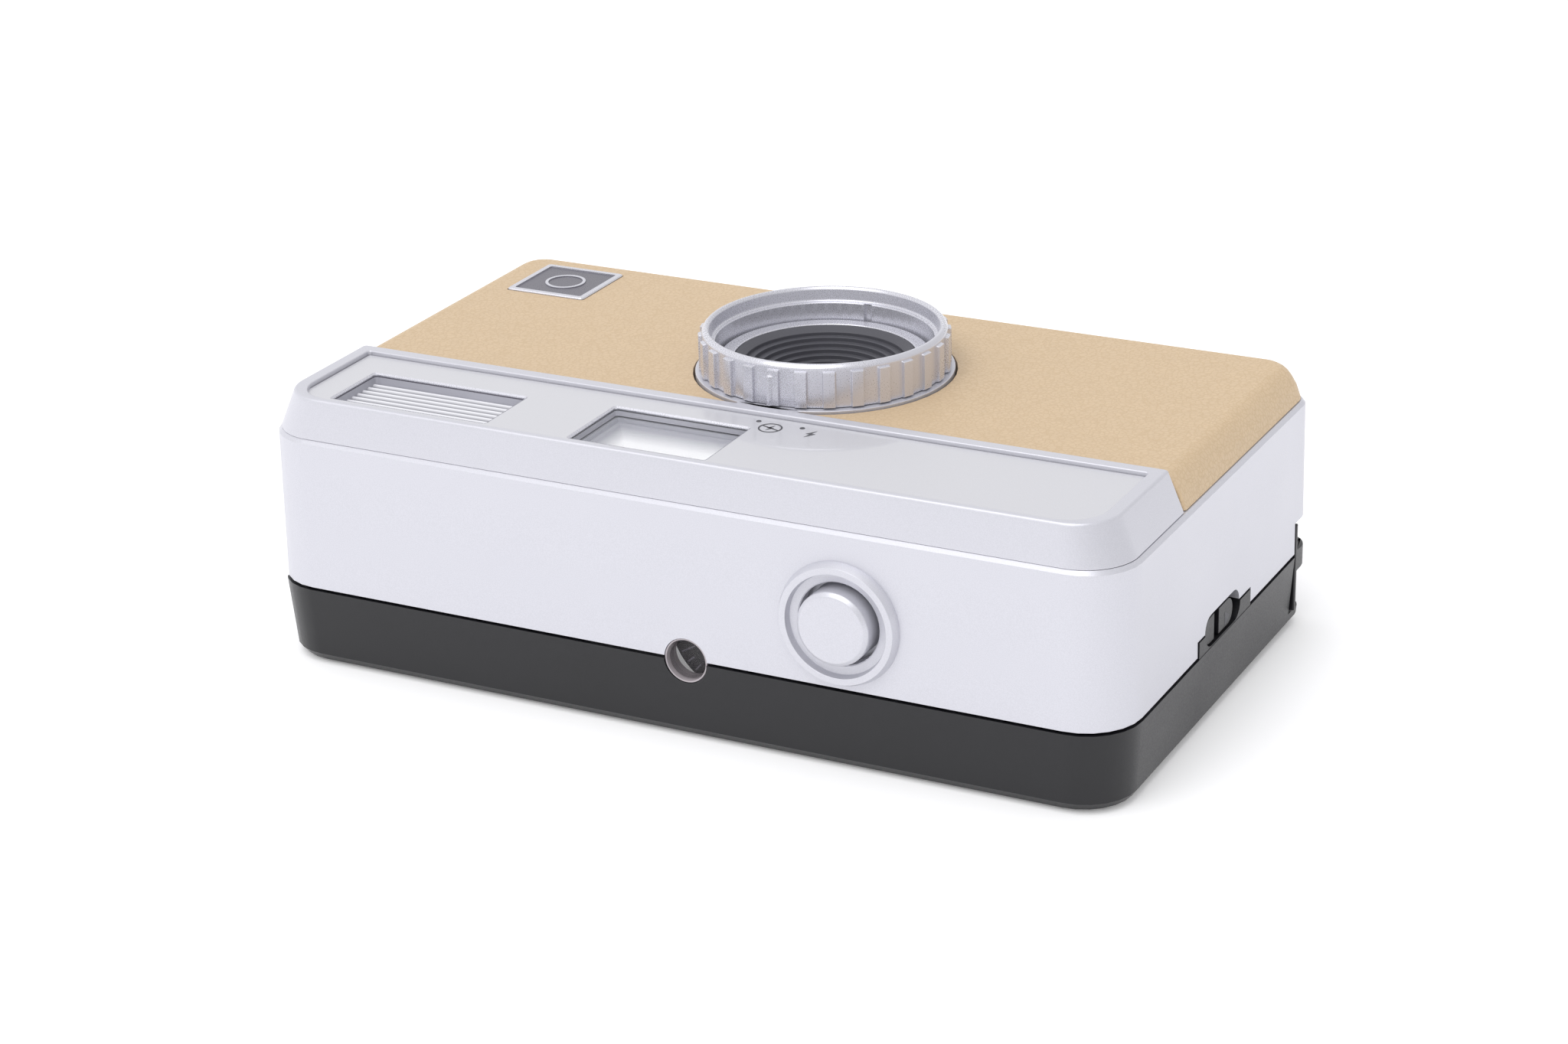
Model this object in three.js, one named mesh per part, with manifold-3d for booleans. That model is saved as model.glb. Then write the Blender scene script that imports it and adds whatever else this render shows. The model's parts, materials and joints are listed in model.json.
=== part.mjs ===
// Half frame 35 mm camera, lying on its back with the lens pointing up.
// Millimetres. +Z is the lens axis, +X is the photographer's right hand side,
// -Y is the top of the camera (shutter button side), +Y is its underside.
// The origin is the middle of the back, on the surface that the back rests on.

import * as THREE from "three";
import { mergeVertices } from "three/addons/utils/BufferGeometryUtils.js";
import Module from "manifold-3d";

// Overall size
const WIDTH = 110;
const HEIGHT = 62;
const GAP = 0.3;
const WALL = 1.8;
const HALF_W = WIDTH / 2;
const HALF_H = HEIGHT / 2;

// Levels along the lens axis, measured from the back
const PARTING_Z = 10;
const LEDGE_Z = 28.9;
const CAVITY_Z = 29.3;
const PLINTH_Z = 31;
const PANEL_Z = 33;
const INLAY_Z = 33.2;
const FLANGE_Z = 33.3;
const TIER_Z = 33.7;
const NOSE_Z = 34.8;
const RING_Z = 38.6;

// Outlines of the case
const CORNER = 6.6;
const FAR_CORNER = 3;
const STEPS = 6;
const SHELL_INSET = 0.15;
const TIER_NEAR_Y = -HALF_H + 1.65;
const TIER_FAR_Y = -10.6;
const TIER_HALF_W = 52.2;
const FOOT_HALF_W = 54.15;
const FOOT_HALF_H = 30.4;
const PLINTH_HALF_W = 52.6;
const PLINTH_HALF_H = 28.8;

// Lens and flash ring
const LENS = { x: 2.4, y: 5.6 };
const CONE_R = 11.1;
const NOSE_R = 12.6;
const RING_BORE_R = 12.9;
const RING_R = 14.65;
const RIB_R = 15;
const RIB_COUNT = 28;
const POINTER_ANGLE = -87.5 * Math.PI / 180;
const FLANGE_R = 15.5;

// Windows in the top tier: [x0, x1, y0, y1]
const FLASH_WINDOW = [-46.4, -25, -27.1, -17.4];
const FINDER_WINDOW = [-14.2, 3.7, -27.3, -16];
const INLAY = [-50.4, 50.4, -28.4, -12.4];

// Land that joins the tier to the lens flange, and the badge plate: [x0, x1, y0, y1]
const BRIDGE = [LENS.x - 4, LENS.x + 4, TIER_FAR_Y - 1, TIER_FAR_Y + 1.4];
const BADGE = [-48, -37.3, 16.4, 26.7];

// Shutter button and frame counter
const BUTTON = { x: 21.7, z: 18, hole: 4.95, radius: 4.4, face: -HALF_H - 1.85 };
const COUNTER = { x: 2.25, z: 9.9, r: 2.6 };
const DISC = { x: 7, z: 13.5, r: 8 };

// Film path
const FILM_Z = 8;
const GATE = { w: 18, h: 24 };
const CHAMBER = { x: -37.2, z: 14.9, r: 13, y0: -16.4, y1: 25.4 };
const SPOOL = { x: 38, z: 12, r: 6.5, chamber: 10.4 };
const WHEEL = { r: 11.3, y0: -25.5, y1: -20.7 };
const SPROCKET = { x: 22, z: 11.4, r: 3.1, tooth: 0.9 };
const SCREWS = [[-20.5, -14], [-20.5, 25.2], [15, -14], [15, 25.2]];

// Underside fittings
const CRANK = { r: 8, hole: 8.35, pivot: 5.92 };
const RELEASE = { x: 22, z: 14.6, r: 2.1 };
const BATTERY = { x: -18.3, z: 22, r: 5.15 };
const BATTERY_COVER = [-24.6, -12, 16.5, 27.1];

// Door hinge on the -X side, latch on the +X side, strap bar in the corner
const HINGE = { x: -HALF_W + 1.5, z: 8.4, r: 1.5, pin: 0.6 };
const HINGE_LUGS = [[-13, -9], [15, 19]];
const TAB = { y0: -7, y1: 9.7, z: 11.9 };
const LATCH = { y0: -4.7, y1: 4.3, r: 1.6 };
const RECESS = { y0: -5, y1: 6.2, r: 1.9 };
const STRAP = { y: 27.4, z0: 2.6, bar0: 7.6, bar1: 10.4, z1: 14.1 };

const wasm = await Module();
wasm.setup();

// ---- Solids ---------------------------------------------------------------

/** A closed triangle mesh as a solid that can be joined and cut. */
function solid(geometry) {
  const bare = geometry.clone();
  bare.deleteAttribute("normal");
  bare.deleteAttribute("uv");
  const merged = mergeVertices(bare, 1e-4);
  const corners = Array.from(merged.index.array);
  const kept = [];
  for (let i = 0; i < corners.length; i += 3) {
    const [a, b, c] = corners.slice(i, i + 3);
    if (a !== b && b !== c && c !== a) kept.push(a, b, c);
  }
  return new wasm.Manifold(new wasm.Mesh({
    numProp: 3,
    vertProperties: new Float32Array(merged.attributes.position.array),
    triVerts: new Uint32Array(kept),
  }));
}

function cut(base, ...tools) {
  return tools.reduce((body, tool) => body.subtract(tool), base);
}

function join(...pieces) {
  return pieces.reduce((body, piece) => body.add(piece));
}

function block(x0, x1, y0, y1, z0, z1) {
  const box = new THREE.BoxGeometry(x1 - x0, y1 - y0, z1 - z0);
  return solid(box.translate((x0 + x1) / 2, (y0 + y1) / 2, (z0 + z1) / 2));
}

/** Turns a shape made along +Y so that it stands along the named axis at (a, b). */
function stand(geometry, axis, a, b) {
  if (axis === "x") return geometry.rotateZ(-Math.PI / 2).translate(0, a, b);
  if (axis === "z") return geometry.rotateX(Math.PI / 2).translate(a, b, 0);
  return geometry.translate(a, 0, b);
}

/** Round body from [radius, position] pairs, anticlockwise, along the named axis. */
function lathe(axis, a, b, profile, segments = 32) {
  const points = profile.map(([r, h]) => new THREE.Vector2(r, h));
  return solid(stand(new THREE.LatheGeometry(points, segments), axis, a, b));
}

function rod(axis, a, b, r, from, to, segments = 24) {
  return lathe(axis, a, b, [[0, from], [r, from], [r, to], [0, to]], segments);
}

function tube(axis, a, b, inner, outer, from, to, segments = 32) {
  const profile = [[inner, from], [outer, from], [outer, to], [inner, to], [inner, from]];
  return lathe(axis, a, b, profile, segments);
}

/** Rectangle with rounded corners; radii start at (x0, y0) and go anticlockwise. */
function outline([x0, x1, y0, y1], radii, steps = STEPS) {
  const [a, b, c, d] = Array.isArray(radii) ? radii : [radii, radii, radii, radii];
  const corners = [
    [x0 + a, y0 + a, a, 2], [x1 - b, y0 + b, b, 3],
    [x1 - c, y1 - c, c, 0], [x0 + d, y1 - d, d, 1],
  ];
  return corners.flatMap(([x, y, r, quarter]) => Array.from({ length: steps + 1 }, (_, k) => {
    const angle = (quarter + k / steps) * Math.PI / 2;
    return new THREE.Vector2(x + r * Math.cos(angle), y + r * Math.sin(angle));
  }));
}

/** Closed body through outlines of equal length, each at its own height. */
function loft(sections) {
  const count = sections[0][1].length;
  const vertices = sections.flatMap(([z, points]) => points.flatMap((p) => [p.x, p.y, z]));
  const faces = [];
  for (let level = 0; level + 1 < sections.length; level++) {
    for (let i = 0; i < count; i++) {
      const a = level * count + i;
      const b = level * count + (i + 1) % count;
      faces.push(a, b, b + count, a, b + count, a + count);
    }
  }
  const top = (sections.length - 1) * count;
  const base = THREE.ShapeUtils.triangulateShape(sections[0][1], []);
  const lid = THREE.ShapeUtils.triangulateShape(sections.at(-1)[1], []);
  base.forEach(([a, b, c]) => faces.push(c, b, a));
  lid.forEach(([a, b, c]) => faces.push(top + a, top + b, top + c));
  const geometry = new THREE.BufferGeometry();
  geometry.setAttribute("position", new THREE.Float32BufferAttribute(vertices, 3));
  geometry.setIndex(faces);
  return solid(geometry);
}

/** Room for a roll of film: round above its axis, straight down to the back below it. */
function trough({ x, z }, r, y0, y1) {
  const side = new THREE.Shape();
  side.moveTo(x - r, 0).lineTo(x + r, 0).absarc(x, z, r, 0, Math.PI).closePath();
  const body = new THREE.ExtrudeGeometry(side, { depth: y1 - y0, curveSegments: 16, bevelEnabled: false });
  return solid(body.rotateX(Math.PI / 2).translate(0, y1, 0));
}

/** Rounded slab between two heights. */
function slab(box, radii, z0, z1, steps = STEPS) {
  const edge = outline(box, radii, steps);
  return loft([[z0, edge], [z1, edge]]);
}

function around(halfWidth, halfHeight) {
  return [-halfWidth, halfWidth, -halfHeight, halfHeight];
}

/** Corner radii of an outline: larger on the -Y side than on the +Y side. */
function uneven(near, far) {
  return [near, near, far, far];
}

function grown([x0, x1, y0, y1], by) {
  return [x0 - by, x1 + by, y0 - by, y1 + by];
}

// ---- The object as a group of named meshes ----------------------------------

const camera = new THREE.Group();

function add(name, body, color, roughness, metalness = 0) {
  const found = body.getMesh();
  const geometry = new THREE.BufferGeometry();
  geometry.setAttribute("position", new THREE.BufferAttribute(found.vertProperties.slice(), 3));
  geometry.setIndex(new THREE.BufferAttribute(found.triVerts.slice(), 1));
  const material = new THREE.MeshStandardMaterial({ color, roughness, metalness });
  const mesh = new THREE.Mesh(geometry, material);
  mesh.name = name;
  camera.add(mesh);
}

const SILVER = [0xd4d4dc, 0.35, 0.6];
const BLACK = [0x2b2b2f, 0.5];
const TAN = [0xd9bd8a, 0.7];
const CLEAR = [0xf2f5f8, 0.05];
const STEEL = [0xb8bcc0, 0.3, 1];

// ---- Case -------------------------------------------------------------------

/** Stadium through the +X wall, its long side along Y, open below its top edge. */
function latchRecess(r, y0, y1, top, x0, x1) {
  const middle = top - r;
  return join(
    rod("x", y0 + r, middle, r, x0, x1),
    rod("x", y1 - r, middle, r, x0, x1),
    block(x0, x1, y0 + r, y1 - r, middle - r, top),
  );
}

/** Room in the corner where the strap bar sits. */
function strapRoom(margin) {
  return block(51.2 - margin, HALF_W + 1, STRAP.y - 2 - margin, HALF_H + 1, STRAP.z0 - margin, STRAP.z1);
}

function frontShell() {
  const skin = (inset) => around(HALF_W - inset, HALF_H - inset);
  const plinth = outline(around(PLINTH_HALF_W, PLINTH_HALF_H), uneven(4.6, 2.4));
  const outer = loft([
    [PARTING_Z + 0.15, outline(skin(SHELL_INSET), uneven(CORNER, FAR_CORNER))],
    [LEDGE_Z - 0.5, outline(skin(SHELL_INSET + 0.2), uneven(CORNER - 0.1, FAR_CORNER - 0.1))],
    [LEDGE_Z, outline(skin(SHELL_INSET + 0.55), uneven(CORNER - 0.4, FAR_CORNER - 0.3))],
    [LEDGE_Z, plinth],
    [PLINTH_Z, plinth],
  ]);
  const cavity = loft([
    [PARTING_Z - 1, outline(skin(WALL + 0.2), CORNER - WALL)],
    [LEDGE_Z - 1.6, outline(skin(WALL + 0.2), CORNER - WALL)],
    [LEDGE_Z - 1.6, outline(around(51, 27.2), 3.4)],
    [CAVITY_Z, outline(around(51, 27.2), 3.4)],
  ]);
  const face = -HALF_H + SHELL_INSET;
  const boss = lathe("y", BUTTON.x, BUTTON.z, [
    [BUTTON.hole, face + 0.06], [6.05, face + 0.06], [6.25, face - 0.96], [6.9, face - 0.96],
    [7.2, face - 0.25], [7.25, face + 0.1], [7.25, face + 1.6], [BUTTON.hole, face + 1.6],
    [BUTTON.hole, face + 0.06],
  ], 40);
  const lugs = HINGE_LUGS.map(([y0, y1]) => join(
    rod("y", HINGE.x, HINGE.z, HINGE.r, y0 + GAP, y1 - GAP, 16),
    block(-HALF_W, HINGE.x + HINGE.r, y0 + GAP, y1 - GAP, HINGE.z, PARTING_Z + 1),
  ));
  const shell = join(cut(outer, cavity), ...lugs);
  const holes = [
    rod("z", LENS.x, LENS.y, NOSE_R + 0.4, CAVITY_Z - 1, PLINTH_Z + 1, 40),
    block(-45, -26.5, -26.2, -18.2, CAVITY_Z - 1, PLINTH_Z + 1),
    block(-13.4, 2.9, -26.6, -16.8, CAVITY_Z - 1, PLINTH_Z + 1),
    rod("y", BUTTON.x, BUTTON.z, 6.5, -HALF_H - 1, -HALF_H + 3, 40),
    rod("y", COUNTER.x, COUNTER.z, COUNTER.r + 0.15, -HALF_H - 1, -HALF_H + 3, 32),
    rod("y", HINGE.x, HINGE.z, HINGE.pin + 0.1, -14, 20, 12),
    rod("y", CHAMBER.x, CHAMBER.z, CRANK.hole, HALF_H - 3, HALF_H + 1, 32),
    rod("y", RELEASE.x, RELEASE.z, RELEASE.r + 0.35, HALF_H - 3, HALF_H + 1),
    block(BATTERY_COVER[0] - GAP, BATTERY_COVER[1] + GAP, HALF_H - 3, HALF_H + 1,
      BATTERY_COVER[2] - GAP, BATTERY_COVER[3] + GAP),
    block(HALF_W - 3, HALF_W + 1, TAB.y0 - GAP, TAB.y1 + GAP, PARTING_Z - 1, TAB.z + 0.15),
    latchRecess(RECESS.r, RECESS.y0, RECESS.y1, 13.8, HALF_W - 3, HALF_W + 1),
    strapRoom(0),
  ];
  return join(cut(shell, ...holes), boss);
}

function topBezel() {
  const radii = (near) => [near, near, 0.4, 0.4];
  const at = (half, near) => [-half, half, near, TIER_FAR_Y];
  const outer = loft([
    [LEDGE_Z + GAP, outline(at(FOOT_HALF_W, -FOOT_HALF_H), radii(6.2))],
    [TIER_Z - 0.3, outline(at(TIER_HALF_W + 0.15, TIER_NEAR_Y - 0.1), radii(5.3))],
    [TIER_Z, outline(at(TIER_HALF_W - 0.15, TIER_NEAR_Y + 0.2), radii(5))],
  ]);
  const flange = rod("z", LENS.x, LENS.y, FLANGE_R, PLINTH_Z + GAP, FLANGE_Z, 48);
  const [x0, x1, y0, y1] = BRIDGE;
  const bridge = block(x0, x1, y0, y1, PLINTH_Z + GAP, FLANGE_Z);
  const under = [-PLINTH_HALF_W - GAP, PLINTH_HALF_W + GAP, -PLINTH_HALF_H - GAP, 0];
  return cut(
    join(outer, flange, bridge),
    slab(under, 4.6, LEDGE_Z, PLINTH_Z + GAP),
    slab(grown(INLAY, 0.15), 0.4, INLAY_Z - 1.2, TIER_Z + 1, 2),
    slab(FLASH_WINDOW, 0.4, PLINTH_Z, TIER_Z, 2),
    slab(FINDER_WINDOW, 0.4, PLINTH_Z, TIER_Z, 2),
    rod("z", LENS.x, LENS.y, RING_BORE_R + 0.05, PLINTH_Z, TIER_Z + 1, 48),
    block(LENS.x - 3, LENS.x + 3, LENS.y - 13.6, LENS.y - 13, FLANGE_Z - 0.6, TIER_Z),
  );
}

function leatherPanel() {
  const at = (half, far) => [-half, half, TIER_FAR_Y + GAP, far];
  const radii = (far) => [0.4, 0.4, far, far];
  const outer = loft([
    [LEDGE_Z + GAP, outline(at(FOOT_HALF_W, FOOT_HALF_H), radii(2.9))],
    [PANEL_Z - 2.4, outline(at(53.6, 30.25), radii(2.8))],
    [PANEL_Z - 1.3, outline(at(53, 30), radii(2.7))],
    [PANEL_Z - 0.75, outline(at(52.6, 29.82), radii(2.6))],
    [PANEL_Z - 0.35, outline(at(52.15, 29.6), radii(2.5))],
    [PANEL_Z - 0.1, outline(at(51.65, 29.33), radii(2.4))],
    [PANEL_Z, outline(at(51.1, 29), radii(2.3))],
  ]);
  const under = [-PLINTH_HALF_W - GAP, PLINTH_HALF_W + GAP, -40, PLINTH_HALF_H + GAP];
  return cut(
    outer,
    slab(under, 2.4, LEDGE_Z, PLINTH_Z + GAP),
    rod("z", LENS.x, LENS.y, FLANGE_R + GAP, PLINTH_Z - 1, TIER_Z, 48),
    slab(grown(BRIDGE, GAP), 0.2, PLINTH_Z - 1, TIER_Z, 2),
    slab(grown(BADGE, GAP), 0.4, PANEL_Z - 0.8, TIER_Z, 2),
  );
}

function backDoor() {
  const skin = (inset) => outline(
    around(HALF_W - inset, HALF_H - inset), uneven(CORNER - inset * 0.6, FAR_CORNER - inset * 0.6));
  const outer = loft([
    [0, skin(2.4)],
    [0.35, skin(1.35)],
    [1.3, skin(0.65)],
    [PARTING_Z - 0.15, skin(0)],
  ]);
  const inner = outline(around(HALF_W - WALL - 0.6, HALF_H - WALL - 0.6), CORNER - WALL);
  const cavity = loft([[WALL, inner], [PARTING_Z + 1, inner]]);
  const tab = block(HALF_W - 1.9, HALF_W - 0.05, TAB.y0, TAB.y1, PARTING_Z - 1, TAB.z);
  const knuckle = rod("y", HINGE.x, HINGE.z, HINGE.r, -21, 24, 16);
  const beside = block(-HALF_W - 1, HINGE.x, -HALF_H, HALF_H, HINGE.z, PARTING_Z + 1);
  const grooves = HINGE_LUGS.map(([y0, y1]) => (
    block(-HALF_W - 1, HINGE.x + HINGE.r + 1, y0, y1, HINGE.z - HINGE.r - GAP, PARTING_Z + 1)));
  const door = join(cut(outer, cavity, beside), tab, knuckle);
  return cut(
    door,
    ...grooves,
    rod("y", HINGE.x, HINGE.z, HINGE.pin + 0.1, -22, 25, 12),
    rod("y", COUNTER.x, COUNTER.z, COUNTER.r + 0.15, -HALF_H - 1, -HALF_H + 3, 32),
    rod("y", CHAMBER.x, CHAMBER.z, CRANK.hole, HALF_H - 3, HALF_H + 1, 32),
    block(SPOOL.x - 9.6, SPOOL.x + 9.6, WHEEL.y0 - 0.5, WHEEL.y1 + 0.5, -1, WALL + 1),
    slab([-11.6, 1, -25.8, -17.4], 1, -1, WALL + 1, 3),
    latchRecess(RECESS.r, RECESS.y0, RECESS.y1, 13.8, HALF_W - 3, HALF_W + 1),
    strapRoom(GAP),
  );
}

/** Bar that the wrist strap loops round, set in the corner of the case. */
function strapBar() {
  const skin = around(HALF_W - 0.1, HALF_H - 0.1);
  const corner = slab(skin, uneven(CORNER, FAR_CORNER), STRAP.z0, STRAP.z1 - GAP);
  const room = block(51.5, HALF_W, STRAP.y - 1.7, HALF_H, STRAP.z0, STRAP.z1 - GAP);
  const passage = (z0, z1) => block(53, HALF_W + 1, STRAP.y - 1, HALF_H + 1, z0, z1);
  const slot = block(53, 54, STRAP.y - 0.4, STRAP.y + 2.2, STRAP.z0 - 1, STRAP.z1);
  return cut(corner.intersect(room), passage(STRAP.z0 - 1, STRAP.bar0), passage(STRAP.bar1, STRAP.z1), slot);
}

add("front_shell", frontShell(), ...SILVER);
add("top_bezel", topBezel(), ...SILVER);
add("leather_panel", leatherPanel(), ...TAN);
add("badge", slab(BADGE, 0.3, PANEL_Z - 0.5, PANEL_Z + 0.2, 2), ...SILVER);
add("back_door", backDoor(), ...BLACK);
add("strap_bar", strapBar(), ...BLACK);
add("hinge_pin", rod("y", HINGE.x, HINGE.z, HINGE.pin, -20.5, 23.5, 12), ...STEEL);

// ---- Flash and viewfinder ---------------------------------------------------

add("window_inlay", cut(
  slab(INLAY, 0.3, INLAY_Z - 0.9, INLAY_Z, 2),
  slab(FLASH_WINDOW, 0.4, PLINTH_Z, TIER_Z, 2),
  slab(FINDER_WINDOW, 0.4, PLINTH_Z, TIER_Z, 2),
), ...SILVER);

/** Clear flash window with ridges running along X. */
function flashLens() {
  const [x0, x1, y0, y1] = grown(FLASH_WINDOW, -GAP);
  const count = 14;
  const pitch = (y1 - y0) / count;
  const ridges = new THREE.Shape([new THREE.Vector2(y0, 31.3), new THREE.Vector2(y1, 31.3)]);
  for (let k = count; k >= 0; k--) {
    ridges.lineTo(y0 + k * pitch, 31.75);
    if (k > 0) ridges.lineTo(y0 + (k - 0.5) * pitch, 32.05);
  }
  const bar = new THREE.ExtrudeGeometry(ridges, { depth: x1 - x0, bevelEnabled: false });
  bar.applyMatrix4(new THREE.Matrix4().set(0, 0, 1, x0, 1, 0, 0, 0, 0, 1, 0, 0, 0, 0, 0, 1));
  return solid(bar);
}

/** Trough that throws the flash tube's light forwards. */
function flashReflector() {
  const x0 = -44.6;
  const x1 = -26.9;
  const outer = loft([[23.4, outline([x0, x1, -24, -20.4], 0.4, 2)], [31, outline([x0, x1, -26, -18.4], 0.4, 2)]]);
  const inner = loft([[24.1, outline([x0 + 0.7, x1 - 0.7, -23.2, -21.2], 0.4, 2)],
    [31.2, outline([x0 + 0.7, x1 - 0.7, -25.3, -19.1], 0.4, 2)]]);
  return cut(outer, inner, rod("x", -22.2, 26, 1.35, x0 - 1, x1 + 1, 12));
}

/** Hollow sight tube between the front window and the eyepiece. */
function finderTunnel() {
  const outer = loft([[3.4, outline([-12.4, 1.8, -26.4, -16.9], 0.6, 2)],
    [31, outline([-13.1, 2.6, -26.4, -17], 0.6, 2)]]);
  const inner = loft([[3.2, outline([-11.2, 0.6, -25.4, -17.9], 0.6, 2)],
    [31.2, outline([-12.2, 1.7, -25.6, -17.8], 0.6, 2)]]);
  return cut(outer, inner);
}

add("flash_lens", flashLens(), ...CLEAR);
add("flash_reflector", flashReflector(), 0xe8e8ea, 0.1, 1);
add("flash_tube", rod("x", -22.2, 26, 1.05, -45.4, -26.1, 12), ...CLEAR);
add("finder_window", slab(grown(FINDER_WINDOW, -GAP), 0.4, 32.1, 32.95, 2), ...CLEAR);
add("finder_tunnel", finderTunnel(), 0x9a9aa0, 0.5);
add("finder_eyepiece", loft([[2.2, outline([-11.2, 0.6, -25.4, -17.8], 0.8, 3)],
  [3.1, outline([-11.2, 0.6, -25.4, -17.8], 0.8, 3)]]), ...CLEAR);

// ---- Lens, shutter and flash ring ---------------------------------------------

/** Black funnel in front of the lens, stepped against stray light. */
function lensCone() {
  const steps = 6;
  const rise = 0.8;
  const run = 1.1;
  const bottom = 29.4;
  const profile = [[3.4, bottom - 1], [CONE_R, bottom - 1], [CONE_R, NOSE_Z]];
  for (let k = steps; k >= 0; k--) {
    profile.push([3.7 + k * run, bottom + k * rise + 0.3]);
    if (k > 0) profile.push([3.7 + k * run, bottom + (k - 1) * rise + 0.3]);
  }
  profile.push([3.4, bottom], [3.4, bottom - 1]);
  return lathe("z", LENS.x, LENS.y, profile, 32);
}

function lensBezel() {
  return tube("z", LENS.x, LENS.y, CONE_R + GAP, NOSE_R, CAVITY_Z + GAP, NOSE_Z, 40);
}

function flashRing() {
  const body = lathe("z", LENS.x, LENS.y, [
    [RING_BORE_R, FLANGE_Z + GAP], [RING_R, FLANGE_Z + GAP], [RING_R - 0.05, RING_Z - 0.5],
    [RING_R - 0.4, RING_Z], [13.95, RING_Z], [13.7, RING_Z - 0.3], [13.6, RING_Z - 1.75],
    [RING_BORE_R + 0.1, RING_Z - 1.75], [RING_BORE_R, FLANGE_Z + GAP],
  ], 52);
  const ribs = Array.from({ length: RIB_COUNT }, (_, k) => {
    const rib = new THREE.BoxGeometry(0.8, 1.45, 3.8);
    rib.translate(RIB_R - 0.4, 0, FLANGE_Z + GAP + 1.9);
    rib.rotateZ(POINTER_ANGLE + k * 2 * Math.PI / RIB_COUNT);
    return solid(rib.translate(LENS.x, LENS.y, 0));
  });
  const pointer = new THREE.BoxGeometry(0.9, 0.55, 3.5);
  pointer.translate(RIB_R, 0, FLANGE_Z + GAP + 1.75);
  pointer.rotateZ(POINTER_ANGLE);
  return join(body, ...ribs, solid(pointer.translate(LENS.x, LENS.y, 0)));
}

/** Plate behind the lens that carries the blade. */
function shutterPlate() {
  const box = [LENS.x - 10, LENS.x + 10, LENS.y - 10, LENS.y + 10];
  return cut(
    slab(box, 1.5, 24.6, 26, 3),
    rod("z", LENS.x, LENS.y, 2.2, 24, 27),
    rod("z", LENS.x - 6, LENS.y - 5, 0.7, 24, 27, 12),
  );
}

/** Thin blade with a round tail on its pivot pin. */
function shutterBlade() {
  return join(
    slab([LENS.x - 6, LENS.x + 4, LENS.y - 2.6, LENS.y + 3.2], 2.4, 23.9, 24.3, 4),
    slab([LENS.x - 7.4, LENS.x - 4.4, LENS.y - 6.6, LENS.y + 1], 1.4, 23.9, 24.3, 4),
    rod("z", LENS.x - 6, LENS.y - 5, 0.5, 23.9, 25.9, 12),
  );
}

/** Thin round lens with one bulged face. */
function lensElement(radius, z0, z1, bulge) {
  const middle = [[radius * 0.5, z1 + bulge * 0.75], [0, z1 + bulge]];
  return lathe("z", LENS.x, LENS.y, [[0, z0], [radius, z0], [radius, z1], ...middle], 24);
}

add("lens_bezel", lensBezel(), ...SILVER);
add("lens_cone", lensCone(), ...BLACK);
add("front_lens", lensElement(3.1, 28.5, 29.2, 0.6), ...CLEAR);
add("rear_lens", lensElement(3.1, 26.4, 27.2, 0.5), ...CLEAR);
add("shutter_plate", shutterPlate(), ...BLACK);
add("shutter_blade", shutterBlade(), ...BLACK);
add("flash_ring", flashRing(), ...SILVER);

// ---- Shutter button and frame counter -------------------------------------------

function shutterButton() {
  const { x, z, radius, face } = BUTTON;
  const flange = -HALF_H + 2.2;
  return lathe("y", x, z, [
    [0, face], [radius - 0.8, face], [radius - 0.25, face + 0.25], [radius, face + 0.8],
    [radius, flange], [radius + 0.9, flange], [radius + 0.9, flange + 0.7],
    [1.8, flange + 0.7], [1.8, flange + 1.4], [0, flange + 1.4],
  ], 40);
}

/** Close-wound return spring under the button, drawn at its pressed length. */
function buttonSpring() {
  return tube("y", BUTTON.x, BUTTON.z, 2.4, 3.2, -26.9, -25.7, 20);
}

function counterDisc() {
  const hub = rod("y", DISC.x, DISC.z, 1.4, -28, -26.7, 12);
  return join(rod("y", DISC.x, DISC.z, DISC.r, -28.3, -27.7, 36), hub);
}

add("shutter_button", shutterButton(), ...SILVER);
add("button_spring", buttonSpring(), ...STEEL);
add("counter_window", lathe("y", COUNTER.x, COUNTER.z, [
  [0, -30.7], [1.4, -30.62], [COUNTER.r, -30.3], [COUNTER.r, -29.4], [0, -29.4],
], 24), ...CLEAR);
add("counter_disc", counterDisc(), 0xe8e8e8, 0.5);

// ---- Film transport ---------------------------------------------------------

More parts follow.
